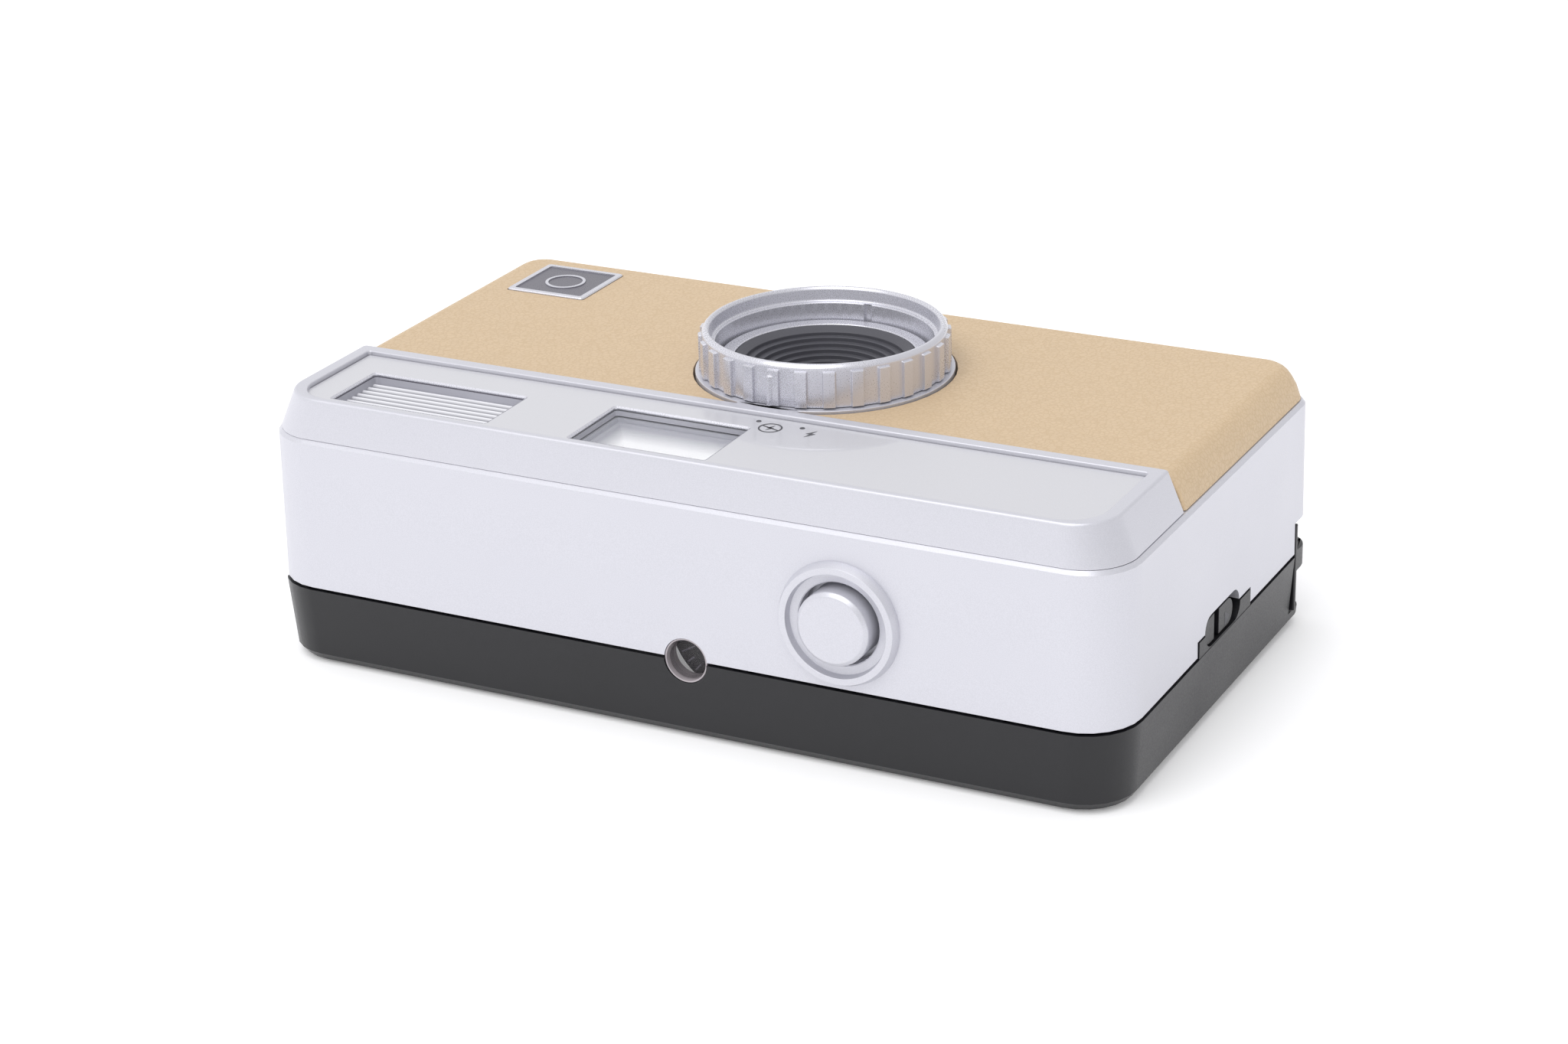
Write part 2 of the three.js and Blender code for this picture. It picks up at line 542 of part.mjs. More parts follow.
/** Dark frame that holds the cassette, the film gate and the take-up spool. */
function filmChassis() {
  const span = [CHAMBER.y0 - 1.2, CHAMBER.y1 + 1.2];
  const floor = slab([-51.6, 51, -16.5, span[1]], 3, FILM_Z, FILM_Z + 1.6, 3);
  const cassetteWall = trough(CHAMBER, CHAMBER.r + 1.2, ...span);
  const spoolWall = trough(SPOOL, SPOOL.chamber + 1.2, ...span);
  const gate = (margin) => [
    LENS.x - GATE.w / 2 - margin, LENS.x + GATE.w / 2 + margin,
    LENS.y - GATE.h / 2 - margin, LENS.y + GATE.h / 2 + margin,
  ];
  const throat = [LENS.x - 5, LENS.x + 5, LENS.y - 6, LENS.y + 6];
  const tunnelWall = loft([[FILM_Z, outline(gate(1.4), 1, 3)], [23.4, outline(grown(throat, 1.4), 1, 3)]]);
  const tunnelRoom = loft([[FILM_Z - 0.1, outline(gate(0), 0.5, 3)], [23.5, outline(throat, 0.5, 3)]]);
  const rails = [-14.2, 13].map((y) => (
    block(-22.6, 17, LENS.y + y, LENS.y + y + 1.2, FILM_Z - 0.6, FILM_Z + 0.5)));
  const half = block(-53, 53, -40, 40, -10, FILM_Z);
  return cut(
    join(floor, cut(cassetteWall, half), cut(spoolWall, half), tunnelWall, ...rails),
    trough(CHAMBER, CHAMBER.r, CHAMBER.y0, CHAMBER.y1),
    trough(SPOOL, SPOOL.chamber, CHAMBER.y0, CHAMBER.y1),
    tunnelRoom,
    block(17.6, 26.6, -13.6, CHAMBER.y1, 0, FILM_Z + 3),
    rod("y", SPROCKET.x, SPROCKET.z, 0.95, -20, 30, 16),
    rod("y", SPOOL.x, SPOOL.z, 2.15, -20, 30, 20),
    rod("y", CHAMBER.x, CHAMBER.z, 2.4, 20, 30, 20),
    ...SCREWS.map(([x, y]) => rod("z", x, y, 1.1, 0, 20, 12)),
  );
}

function takeUpSpool() {
  const drum = rod("y", SPOOL.x, SPOOL.z, SPOOL.r, -14.6, CHAMBER.y1 - GAP, 28);
  const slot = block(SPOOL.x - 0.8, SPOOL.x + 0.8, -4, 15, SPOOL.z - SPOOL.r - 1, SPOOL.z - 2);
  const axle = rod("y", SPOOL.x, SPOOL.z, 2, -20.2, 27.2, 20);
  const rims = [-14.5, 24.2].map((y) => rod("y", SPOOL.x, SPOOL.z, SPOOL.r + 1.6, y, y + 0.8, 28));
  return cut(join(drum, axle, ...rims), slot);
}

/** Milled wheel; a finger turns the stretch that shows through the back. */
function thumbWheel() {
  const wheel = rod("y", SPOOL.x, SPOOL.z, WHEEL.r, WHEEL.y0, WHEEL.y1, 60);
  const notches = Array.from({ length: 30 }, (_, k) => {
    const angle = k * 2 * Math.PI / 30;
    const x = SPOOL.x + WHEEL.r * Math.cos(angle);
    return rod("y", x, SPOOL.z + WHEEL.r * Math.sin(angle), 0.45, WHEEL.y0 - 1, WHEEL.y1 + 1, 4);
  });
  return cut(wheel, ...notches, rod("y", SPOOL.x, SPOOL.z, 8.5, WHEEL.y0 - 1, WHEEL.y0 + 1.2, 28));
}

function sprocketShaft() {
  const shaft = rod("y", SPROCKET.x, SPROCKET.z, 1.8, -12.9, CHAMBER.y1 - GAP, 16);
  const ends = rod("y", SPROCKET.x, SPROCKET.z, 0.85, -16, 26.5, 16);
  const wheels = [-8.6, 18.2].map((y) => {
    const teeth = Array.from({ length: 4 }, (_, k) => {
      const tooth = new THREE.BoxGeometry(1, 1.4, 2 * (SPROCKET.r + SPROCKET.tooth));
      tooth.translate(0, y + 0.8, 0).rotateY(k * Math.PI / 4);
      return solid(tooth.translate(SPROCKET.x, 0, SPROCKET.z));
    });
    return join(rod("y", SPROCKET.x, SPROCKET.z, SPROCKET.r, y - 0.4, y + 2, 24), ...teeth);
  });
  return join(shaft, ends, ...wheels);
}

/** Countersunk screw seen from behind, with a straight slot in its head. */
function screw(x, y) {
  const head = FILM_Z - 1.1;
  return cut(
    join(rod("z", x, y, 1.9, head, FILM_Z - GAP, 16), rod("z", x, y, 0.8, FILM_Z - GAP - 0.1, 14, 12)),
    block(x - 3, x + 3, y - 0.25, y + 0.25, head - 1, head + 0.4),
  );
}

add("film_chassis", filmChassis(), ...BLACK);
add("take_up_spool", takeUpSpool(), ...BLACK);
add("thumb_wheel", thumbWheel(), ...BLACK);
add("sprocket_shaft", sprocketShaft(), 0xdededa, 0.5);
SCREWS.forEach(([x, y], k) => add(`chassis_screw_${k + 1}`, screw(x, y), ...STEEL));

/** Plate that keeps the film flat, with its bowed spring behind it. */
add("pressure_plate", slab([LENS.x - 21, LENS.x + 13.4, LENS.y - 17.6, LENS.y + 17.6], 1.5, 6.2, 7, 3),
  0x35353a, 0.4);
function pressureSpring() {
  const bow = new THREE.Shape();
  const half = 11;
  const x = LENS.x - 4;
  bow.moveTo(x - half, WALL + 0.2).quadraticCurveTo(x, 9.6, x + half, WALL + 0.2);
  bow.lineTo(x + half, WALL + 0.5).quadraticCurveTo(x, 10, x - half, WALL + 0.5);
  const strip = new THREE.ExtrudeGeometry(bow, { depth: 8, curveSegments: 10, bevelEnabled: false });
  return solid(strip.rotateX(Math.PI / 2).translate(0, LENS.y + 4, 0));
}
add("pressure_spring", pressureSpring(), ...STEEL);

// ---- Rewind and battery on the underside ------------------------------------------

function rewindCrank() {
  const { x, z } = CHAMBER;
  const disc = rod("y", x, z, CRANK.r, 28.5, 30, 40);
  const shaft = rod("y", x, z, 2.1, 23.4, 29, 16);
  const fork = block(x - 0.7, x + 0.7, 20.6, 24, z - 2.4, z + 2.4);
  const pins = [-1, 1].map((side) => (
    block(x + CRANK.pivot - 0.95, x + CRANK.pivot + 0.95, 29.9, 30.9, z + side * 1.9 - 0.35, z + side * 1.9 + 0.35)));
  return join(disc, shaft, fork, ...pins);
}

function crankHandle() {
  const { x, z } = CHAMBER;
  const arm = block(x - 4.6, x + CRANK.pivot + 0.25, 30.3, 30.75, z - 1.2, z + 1.2);
  return join(arm, rod("z", x + CRANK.pivot, 30.5, 0.45, z - 1.25, z + 1.25, 12));
}

add("rewind_crank", rewindCrank(), ...BLACK);
add("crank_handle", crankHandle(), ...BLACK);
add("crank_knob", cut(
  rod("y", CHAMBER.x - 4.6, CHAMBER.z, 2.1, 30.3, 31, 20),
  block(CHAMBER.x - 4.6 - GAP, CHAMBER.x + 5, 29, 32, CHAMBER.z - 1.5, CHAMBER.z + 1.5),
), ...BLACK);
add("rewind_button", join(
  rod("y", RELEASE.x, RELEASE.z, RELEASE.r, 27.9, 30.9, 20),
  rod("y", RELEASE.x, RELEASE.z, RELEASE.r + 0.9, 27.9, 28.6, 20),
), ...BLACK);

function batteryCover() {
  const [x0, x1, z0, z1] = BATTERY_COVER;
  const mid = HALF_H - SHELL_INSET - 0.9;
  const r = 0.9;
  const panel = block(x0 + r, x1, mid - r, mid + r, z0, z1);
  const grip = [0, 1, 2].map((k) => (
    block(x1 - 2.4 - k, x1 - 2 - k, mid + r - 0.4, mid + r + 1, (z0 + z1) / 2 - 3, (z0 + z1) / 2 + 3)));
  return cut(join(panel, rod("z", x0 + r, mid, r, z0, z1, 16)), ...grip);
}

const { x: cellX, z: cellZ, r: cellR } = BATTERY;
add("battery_cover", batteryCover(), ...SILVER);
add("battery_cell", join(
  rod("y", cellX, cellZ, cellR, -14.4, 28, 28),
  rod("y", cellX, cellZ, 1.9, -15.2, -14, 16),
), 0x8a8f96, 0.4, 0.4);
add("battery_contact_top", block(cellX - 3.5, cellX + 3.5, -16.2, -15.6, cellZ - 3.5, cellZ + 3.5), ...STEEL);
add("battery_contact_cover", rod("y", cellX, cellZ, 3, 28.3, 28.7, 16), ...STEEL);

// ---- Flash circuit ------------------------------------------------------------------

add("flash_board", block(10, 29.5, -15, 20, 27, 28.4), 0x2f6b45, 0.5);
add("flash_capacitor", rod("y", 22, 22.6, 4, -11.5, 14, 20), 0x22242a, 0.4);

// ---- Door latch -----------------------------------------------------------------------

function latchSlider() {
  const x1 = HALF_W - 0.3;
  const top = 13.4;
  const z0 = PARTING_Z - 0.1;
  const face = cut(
    latchRecess(LATCH.r, LATCH.y0, LATCH.y1, top, HALF_W - 1.9, x1),
    block(x1 - 0.8, x1 + 1, -1.7, -0.2, z0 - 2, top + 1),
  );
  return join(face, block(HALF_W - 2.4, HALF_W - 1.6, LATCH.y0 + 1.6, LATCH.y1 - 1.6, z0 + 0.6, top - 0.4));
}

add("latch_slider", latchSlider(), ...BLACK);

export default camera;
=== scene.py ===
"""Half frame camera lying on its back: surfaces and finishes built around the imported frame.

The row frame holds throughout: +Z along the lens axis, -Y the top of the camera, +X the
photographer's right. Shapes are worked out in millimetres and put into meshes in metres.
"""

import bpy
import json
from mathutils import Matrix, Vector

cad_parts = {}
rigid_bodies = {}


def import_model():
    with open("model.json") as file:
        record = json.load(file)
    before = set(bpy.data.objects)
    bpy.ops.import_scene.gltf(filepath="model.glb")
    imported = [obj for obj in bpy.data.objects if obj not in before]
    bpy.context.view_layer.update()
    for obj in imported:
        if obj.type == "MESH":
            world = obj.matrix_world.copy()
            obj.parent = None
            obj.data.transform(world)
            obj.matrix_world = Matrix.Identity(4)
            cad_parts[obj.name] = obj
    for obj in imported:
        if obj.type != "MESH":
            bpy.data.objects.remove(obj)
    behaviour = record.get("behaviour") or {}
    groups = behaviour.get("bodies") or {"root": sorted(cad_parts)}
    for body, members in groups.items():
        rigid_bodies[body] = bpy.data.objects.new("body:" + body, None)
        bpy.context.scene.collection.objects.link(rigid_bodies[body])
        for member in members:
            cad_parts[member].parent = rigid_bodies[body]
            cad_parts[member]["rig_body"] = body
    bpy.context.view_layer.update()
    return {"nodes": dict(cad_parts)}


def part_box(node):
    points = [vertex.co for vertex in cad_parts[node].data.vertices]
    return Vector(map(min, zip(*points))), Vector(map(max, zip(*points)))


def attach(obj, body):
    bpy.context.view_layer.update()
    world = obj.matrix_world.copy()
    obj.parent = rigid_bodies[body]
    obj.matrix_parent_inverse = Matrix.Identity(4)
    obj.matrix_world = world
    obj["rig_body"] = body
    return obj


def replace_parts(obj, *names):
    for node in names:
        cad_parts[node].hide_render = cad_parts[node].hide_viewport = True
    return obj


bl_info = {
    "name": "Half frame camera",
    "version": (1, 0, 0),
    "blender": (4, 5, 0),
    "location": "3D View > Sidebar > Half frame camera",
    "description": "Builds the surfaces and finishes of a half frame camera around its packed frame",
    "category": "Object",
}

import json
import math

import bmesh
import bpy
import numpy as np
from mathutils import Matrix

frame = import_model()
MM = 0.001
RIDGES = 8
DONE = {"FINISHED"}


def span(node):
    """Lowest and highest corner of a CAD node in millimetres."""
    low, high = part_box(node)
    return np.array(low) / MM, np.array(high) / MM


# ---- Curves and grids ---------------------------------------------------------


def rounded(x0, x1, y0, y1, radii, steps=12):
    """Rectangle with quarter circles for corners, anticlockwise from (x0, y0).

    Each corner point is its circle's centre plus r (cos t, sin t), t over a quarter turn.
    """
    r = np.broadcast_to(np.asarray(radii, float), (4,))
    corner = np.array([[x0, y0], [x1, y0], [x1, y1], [x0, y1]], float)
    inward = np.array([[1, 1], [-1, 1], [-1, -1], [1, -1]])
    centre = corner + inward * r[:, None]
    t = (np.array([2, 3, 0, 1])[:, None] + np.linspace(0, 1, steps + 1)) * math.pi / 2
    turn = np.stack([np.cos(t), np.sin(t)], -1)
    return (centre[:, None] + r[:, None, None] * turn).reshape(-1, 2)


def softened(corners, reach, steps=4, closed=True):
    """Polyline whose corners c turn into curves (1-t)^2 a + 2t(1-t) c + t^2 b.

    a and b lie on the two arms of the corner, at most reach away from it.
    """
    c = np.asarray(corners, float)
    arms = [np.roll(c, 1, 0) - c, np.roll(c, -1, 0) - c]
    ends = []
    for arm in arms:
        length = np.linalg.norm(arm, axis=1, keepdims=True)
        ends.append(c + arm / length * np.minimum(np.reshape(reach, (-1, 1)), 0.45 * length))
    t = np.linspace(0, 1, steps + 1)[None, :, None]
    a, b, m = ends[0][:, None], ends[1][:, None], c[:, None]
    curve = (1 - t) ** 2 * a + 2 * t * (1 - t) * m + t**2 * b
    if closed:
        return curve.reshape(-1, 2)
    return np.vstack([c[:1], curve[1:-1].reshape(-1, 2), c[-1:]])


AXES = {
    "x": np.array([[0, 1, 0], [0, 0, 1], [1, 0, 0]], float),
    "y": np.array([[0, 0, 1], [1, 0, 0], [0, 1, 0]], float),
    "z": np.eye(3),
}


def turned(profile, centre, axis="z", count=96, angles=None):
    """Surface of revolution: centre + r cos u e1 + r sin u e2 + h e3 for profile points (r, h).

    e3 is the named axis. The profile may hold one column of radii for each angle u.
    """
    u = np.linspace(0, 2 * math.pi, count, endpoint=False) if angles is None else angles
    radius, height = (np.broadcast_to(part, (len(u), part.shape[-1])) for part in profile)
    e1, e2, e3 = AXES[axis]
    across = np.cos(u)[:, None, None] * e1 + np.sin(u)[:, None, None] * e2
    return np.asarray(centre, float) + radius[..., None] * across + height[..., None] * e3


def revolved(corners, reach, centre, axis="z", count=96, steps=4, closed=True):
    """Surface of revolution of a profile of (radius, height) corners, softened first."""
    shape = softened(corners, reach, steps, closed)
    return turned((shape[:, 0], shape[:, 1]), centre, axis, count)


def lofted(outlines, heights):
    """Grid through plane outlines of equal length: point (u, v) is point u of outline v at height v."""
    flat = np.stack(outlines, 1)
    z = np.broadcast_to(np.asarray(heights, float)[None, :, None], flat.shape[:2] + (1,))
    return np.concatenate([flat, z], -1)


def quads(rows, columns, ring, tube):
    """Corners of every face of a grid; ring joins the last row to the first, tube the columns."""
    index = np.arange(rows * columns).reshape(rows, columns)
    if ring:
        index = np.concatenate([index, index[:1]], 0)
    if tube:
        index = np.concatenate([index, index[:, :1]], 1)
    a, b, c, d = index[:-1, :-1], index[1:, :-1], index[1:, 1:], index[:-1, 1:]
    return np.stack([a, b, c, d], -1).reshape(-1, 4)


def grid_mesh(name, grids):
    """One mesh from grids of points in millimetres: (points, ring, tube, capped) for each.

    A capped grid gets a face over each open end. Doubles are merged, so poles and seams close,
    and faces are turned to point outwards.
    """
    bm = bmesh.new()
    for points, ring, tube, capped in grids:
        rows, columns = points.shape[:2]
        part = bpy.data.meshes.new("part")
        faces = quads(rows, columns, ring, tube).tolist()
        if capped:
            index = np.arange(rows * columns).reshape(rows, columns)
            index = index.T if tube else index
            faces += [index[::-1, 0].tolist(), index[:, -1].tolist()]
        part.from_pydata((points.reshape(-1, 3) * MM).tolist(), [], faces)
        bm.from_mesh(part)
        bpy.data.meshes.remove(part)
    bmesh.ops.remove_doubles(bm, verts=bm.verts, dist=1e-6)
    bmesh.ops.dissolve_degenerate(bm, edges=bm.edges, dist=1e-7)
    bmesh.ops.recalc_face_normals(bm, faces=bm.faces)
    mesh = bpy.data.meshes.new(name)
    bm.to_mesh(mesh)
    bm.free()
    return mesh


def welded(node):
    """Copy of a CAD node's mesh with its triangles joined and its flat faces made whole."""
    bm = bmesh.new()
    bm.from_mesh(frame["nodes"][node].data)
    bmesh.ops.remove_doubles(bm, verts=bm.verts, dist=2e-6)
    bmesh.ops.dissolve_degenerate(bm, edges=bm.edges, dist=2e-6)
    bmesh.ops.dissolve_limit(bm, angle_limit=math.radians(0.6), verts=bm.verts, edges=bm.edges)
    mesh = bpy.data.meshes.new(node)
    bm.to_mesh(mesh)
    bm.free()
    return mesh


def footed(mesh, drop):
    """Carries the lowest level of a mesh down by drop millimetres."""
    points = np.empty(len(mesh.vertices) * 3)
    mesh.vertices.foreach_get("co", points)
    height = points[2::3]
    height[height < height.min() + 0.05 * MM] -= drop * MM
    mesh.vertices.foreach_set("co", points)
    return mesh


def place(name, shape, nodes, coat, round_off=0.0, crease=32):
    """Puts a piece in the scene: its finish, smooth faces, rounded edges, and the body it rides on.

    The shape is a mesh, or a list of grids as grid_mesh takes them.
    """
    mesh = grid_mesh(name, shape) if isinstance(shape, list) else shape
    piece = bpy.data.objects.new(name, mesh)
    bpy.context.scene.collection.objects.link(piece)
    mesh.materials.clear()
    mesh.materials.append(coat)
    mesh.shade_smooth()
    mesh.set_sharp_from_angle(angle=math.radians(crease))
    if round_off:
        bevel = piece.modifiers.new("Rounded edges", "BEVEL")
        bevel.width = round_off * MM
        bevel.segments = 2
        bevel.limit_method = "ANGLE"
        bevel.angle_limit = math.radians(30)
        bevel.use_clamp_overlap = True
        bevel.harden_normals = False
    even = piece.modifiers.new("Even normals", "WEIGHTED_NORMAL")
    even.keep_sharp = True
    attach(piece, frame["nodes"][nodes[0]]["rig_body"])
    return piece


def stand_for(name, shape, node, coat, round_off=0.0, crease=32):
    """A placed piece that is shown instead of its CAD node."""
    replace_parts(place(name, shape, [node], coat, round_off, crease), node)


# ---- Finishes -------------------------------------------------------------------


class Value:
    """A number that varies over a surface: a socket with the usual arithmetic."""

    def __init__(self, coat, socket):
        self.coat, self.socket = coat, socket

    def math(self, operation, *operands):
        return self.coat.node("ShaderNodeMath", {"operation": operation}, dict(enumerate(operands)))

    def __add__(self, other):
        return self.math("ADD", self, other)

    def __sub__(self, other):
        return self.math("SUBTRACT", self, other)

    def __rsub__(self, other):
        return self.math("SUBTRACT", other, self)

    def __mul__(self, other):
        return self.math("MULTIPLY", self, other)

    __radd__ = __add__
    __rmul__ = __mul__


class Finish:
    """A material under construction: one Principled shader and the nodes that feed it."""

    def __init__(self, name, colour, roughness, metallic=0.0, fixed=()):
        self.material = bpy.data.materials.new(name)
        self.material.use_nodes = True
        self.tree = self.material.node_tree
        self.shader = self.tree.nodes["Principled BSDF"]
        self.feed("Base Color", (*colour, 1.0))
        self.feed("Roughness", roughness)
        self.feed("Metallic", metallic)
        for socket, value in fixed:
            self.feed(socket, value)

    def feed(self, socket, value):
        """Sets a socket of the shader, or links a value to it."""
        self._connect(self.shader.inputs[socket], value)

    def _connect(self, socket, value):
        """Links a Value to the socket, or sets the socket to a plain number or colour."""
        if isinstance(value, Value):
            self.tree.links.new(value.socket, socket)
        else:
            socket.default_value = value

    def node(self, kind, settings=None, sockets=None, output=0):
        """Adds a node, sets it up, joins its sockets and returns one output as a Value."""
        made = self.tree.nodes.new(kind)
        for key, value in (settings or {}).items():
            if key == "stops":
                ramp = made.color_ramp.elements
                while len(ramp) < len(value):
                    ramp.new(0.5)
                for stop, (position, colour) in zip(ramp, value):
                    stop.position, stop.color = position, (*colour, 1.0)
            else:
                setattr(made, key, value)
        for key, value in (sockets or {}).items():
            self._connect(made.inputs[key], value)
        return Value(self, made.outputs[output])

    def place_in(self, scale=(1, 1, 1)):
        """Object coordinates, stretched by scale."""
        here = self.node("ShaderNodeTexCoord", output="Object")
        return self.node("ShaderNodeMapping", {}, {"Vector": here, "Scale": scale})

    def noise(self, per_metre, detail=2.0, where=None, rough=0.5):
        """Smooth noise in Object coordinates, so many grains to the metre."""
        return self.node("ShaderNodeTexNoise", {}, {
            "Vector": where or self.place_in(), "Scale": per_metre, "Detail": detail, "Roughness": rough})

    def spread(self, value, low, high, to_low=0.0, to_high=1.0):
        """Maps low..high to to_low..to_high and clamps."""
        return self.node("ShaderNodeMapRange", {"clamp": True}, {
            "Value": value, "From Min": low, "From Max": high, "To Min": to_low, "To Max": to_high})

    def blend(self, share, a, b):
        """Colour a where share is 0 and b where it is 1."""
        as_colour = [(*c, 1.0) if isinstance(c, tuple) else c for c in (a, b)]
        return self.node("ShaderNodeMix", {"data_type": "RGBA"}, {
            0: share, 6: as_colour[0], 7: as_colour[1]}, output=2)

    def bump(self, height, depth_mm, strength=1.0):
        """Feeds the shader's normal with a relief of the given depth."""
        raised = self.node("ShaderNodeBump", {}, {
            "Height": height, "Distance": depth_mm * MM, "Strength": strength})
        self.feed("Normal", raised)


FINISHES = {}


def tint(colour, share):
    """The colour made lighter or darker by a share, kept below white."""
    return tuple(min(0.98, c * share) for c in colour)


def satin_silver(name, colour, roughness=0.36, metallic=0.45):
    """Silver paint: fine flakes that glint, a slight orange-peel and a slow drift in sheen."""
    f = Finish(name, colour, roughness, metallic)
    flakes = f.noise(9000.0, 1.0)
    drift = f.noise(70.0, 3.0)
    f.feed("Base Color", f.blend(f.spread(flakes, 0.38, 0.62), tint(colour, 0.965), tint(colour, 1.025)))
    slow = f.spread(drift, 0.3, 0.7, roughness - 0.03, roughness + 0.04)
    f.feed("Roughness", slow + f.spread(flakes, 0.3, 0.7, -0.03, 0.03))
    peel = f.noise(2600.0, 2.0)
    f.bump(flakes * 0.4 + peel, 0.003, 0.5)
    return f.material


def leatherette(name, colour, valley):
    """Embossed leather cloth: rounded pebbles between fine creases, and softer dimples across."""
    f = Finish(name, colour, 0.52, fixed=[("Sheen Weight", 0.12), ("Sheen Roughness", 0.4)])
    wander = f.noise(1500.0, 2.0)
    here = f.place_in()
    pushed = f.node("ShaderNodeVectorMath", {"operation": "MULTIPLY_ADD"}, {
        0: wander, 1: (0.00055, 0.00055, 0.00055), 2: here})
    pebble = f.node("ShaderNodeTexVoronoi", {"feature": "DISTANCE_TO_EDGE"}, {
        "Vector": pushed, "Scale": 1500.0})
    crease = f.spread(pebble, 0.0, 0.16)
    fold = f.noise(420.0, 3.0, rough=0.6)
    fine = f.noise(6000.0, 2.0)
    tone = f.blend(f.spread(fold, 0.3, 0.7), tint(colour, 0.975), tint(colour, 1.02))
    f.feed("Base Color", f.blend(crease, valley, tone))
    f.feed("Roughness", f.spread(crease, 0.0, 1.0, 0.68, 0.48) + f.spread(fine, 0.3, 0.7, -0.04, 0.04))
    f.bump(crease * 0.75 + fold * 1.3 + fine * 0.12, 0.03, 0.5)
    return f.material


def moulded(name, colour, roughness=0.4, grain=0.006):
    """Moulded plastic with a fine spark-eroded grain and a slow change in sheen."""
    f = Finish(name, colour, roughness)
    grains = f.noise(5200.0, 2.0)
    drift = f.noise(60.0, 3.0)
    f.feed("Base Color", f.blend(f.spread(drift, 0.3, 0.7), tint(colour, 0.9), tint(colour, 1.12)))
    slow = f.spread(drift, 0.3, 0.7, roughness - 0.04, roughness + 0.04)
    f.feed("Roughness", slow + f.spread(grains, 0.35, 0.65, -0.04, 0.04))
    f.bump(grains, grain, 0.7)
    return f.material


def metal(name, colour, roughness=0.25, along=(1, 1, 1)):
    """Bare metal with fine scratches stretched along one direction."""
    f = Finish(name, colour, roughness, 1.0)
    lines = f.noise(4000.0, 2.0, f.place_in(along))
    f.feed("Base Color", f.blend(lines, tint(colour, 0.85), tint(colour, 1.08)))
    f.feed("Roughness", f.spread(lines, 0.3, 0.7, roughness - 0.07, roughness + 0.1))
    f.bump(lines, 0.003, 0.6)
    return f.material


def clear(name, colour, haze=0.04, body=0.10, veil=0.3):
    """Clear plastic: mirrors at a slant, lets light through head on, with faint haze and dust."""
    f = Finish(name, colour, haze, fixed=[("Specular IOR Level", 1.0)])
    edge = f.node("ShaderNodeLayerWeight", {}, {"Blend": 0.32})
    dust = f.spread(f.noise(1900.0, 4.0), 0.66, 0.8, 0.0, 0.25)
    f.feed("Alpha", edge * veil + dust * 0.2 + body)
    f.feed("Roughness", dust * 0.8 + haze)
    return f.material


def ridged():
    """Ridged clear plastic in front of a reflector: milky tops, with painted shade in the valleys across Y.
    """
    f = Finish("Ridged flash window", (0.6, 0.6, 0.64), 0.14, fixed=[("Specular IOR Level", 0.7)])
    (_, y0, _), (_, y1, _) = span("flash_lens")
    across = f.node("ShaderNodeSeparateXYZ", {}, {"Vector": f.place_in()}, output="Y")
    phase = (across - y0 * MM) * (RIDGES * math.pi / ((y1 - y0) * MM))
    crest = f.node("ShaderNodeMath", {"operation": "SINE"}, {0: phase})
    crest = crest * crest
    haze = f.noise(260.0, 3.0)
    # painted shade: the valleys between the ridges are painted dark and the tops pale
    f.feed("Base Color", f.blend(crest, (0.24, 0.24, 0.27), (0.90, 0.90, 0.94)))
    f.feed("Roughness", f.spread(haze, 0.3, 0.7, 0.1, 0.2))
    f.feed("Alpha", f.spread(crest + haze * 0.4, 0.0, 1.3, 0.99, 0.93))
    return f.material


def funnel():
    """Pale finder walls with a slight mould texture: grey round the mouth, and painted light further down,
    white with a painted glow.
    """
    f = Finish("Finder walls", (0.9, 0.9, 0.92), 0.35)
    height = f.node("ShaderNodeSeparateXYZ", {}, {"Vector": f.place_in()}, output="Z")
    base = span("finder_window")[0][2] * MM
    # painted light: the walls turn white further down, towards the back, and stay grey round the mouth
    painted_light_share = f.spread(height, base - 0.9 * MM, base - 2.6 * MM)
    f.feed("Base Color", f.blend(painted_light_share, (0.50, 0.50, 0.56), (0.96, 0.96, 0.97)))
    # painted light: a glow on the walls further down, though they are no lamp
    f.feed("Emission Color", f.blend(painted_light_share, (0.0, 0.0, 0.0), (1.0, 1.0, 1.0)))
    f.feed("Emission Strength", 0.27)
    grains = f.noise(4200.0, 2.0)
    f.feed("Roughness", f.spread(grains, 0.3, 0.7, 0.3, 0.42))
    f.bump(grains, 0.004, 0.5)
    return f.material


def glossy_silver(name, colour):
    """Silver print under a clear, polished window plate."""
    f = Finish(name, colour, 0.42, 0.35, fixed=[
        ("Coat Roughness", 0.02), ("Coat IOR", 1.52)])
    flakes = f.noise(11000.0, 1.0)
    wipe = f.noise(90.0, 3.0)
    f.feed("Base Color", f.blend(f.spread(flakes, 0.4, 0.6), tint(colour, 0.97), tint(colour, 1.02)))
    f.feed("Roughness", f.spread(flakes, 0.3, 0.7, 0.38, 0.46))
    f.feed("Coat Weight", f.spread(wipe, 0.2, 0.8, 1.0, 0.92))
    return f.material


def lacquered(name, colour, line):
    """Circuit board: green lacquer with raised tracks in straight bands."""
    f = Finish(name, colour, 0.28)
    tracks = f.node("ShaderNodeTexBrick", {"offset": 0.35}, {
        "Vector": f.place_in(), "Scale": 260.0, "Color1": (0, 0, 0, 1), "Color2": (0, 0, 0, 1),
        "Mortar": (1, 1, 1, 1), "Mortar Size": 0.04}, output="Fac")
    f.feed("Base Color", f.blend(tracks, colour, line))
    f.bump(tracks, 0.03, 0.6)
    return f.material


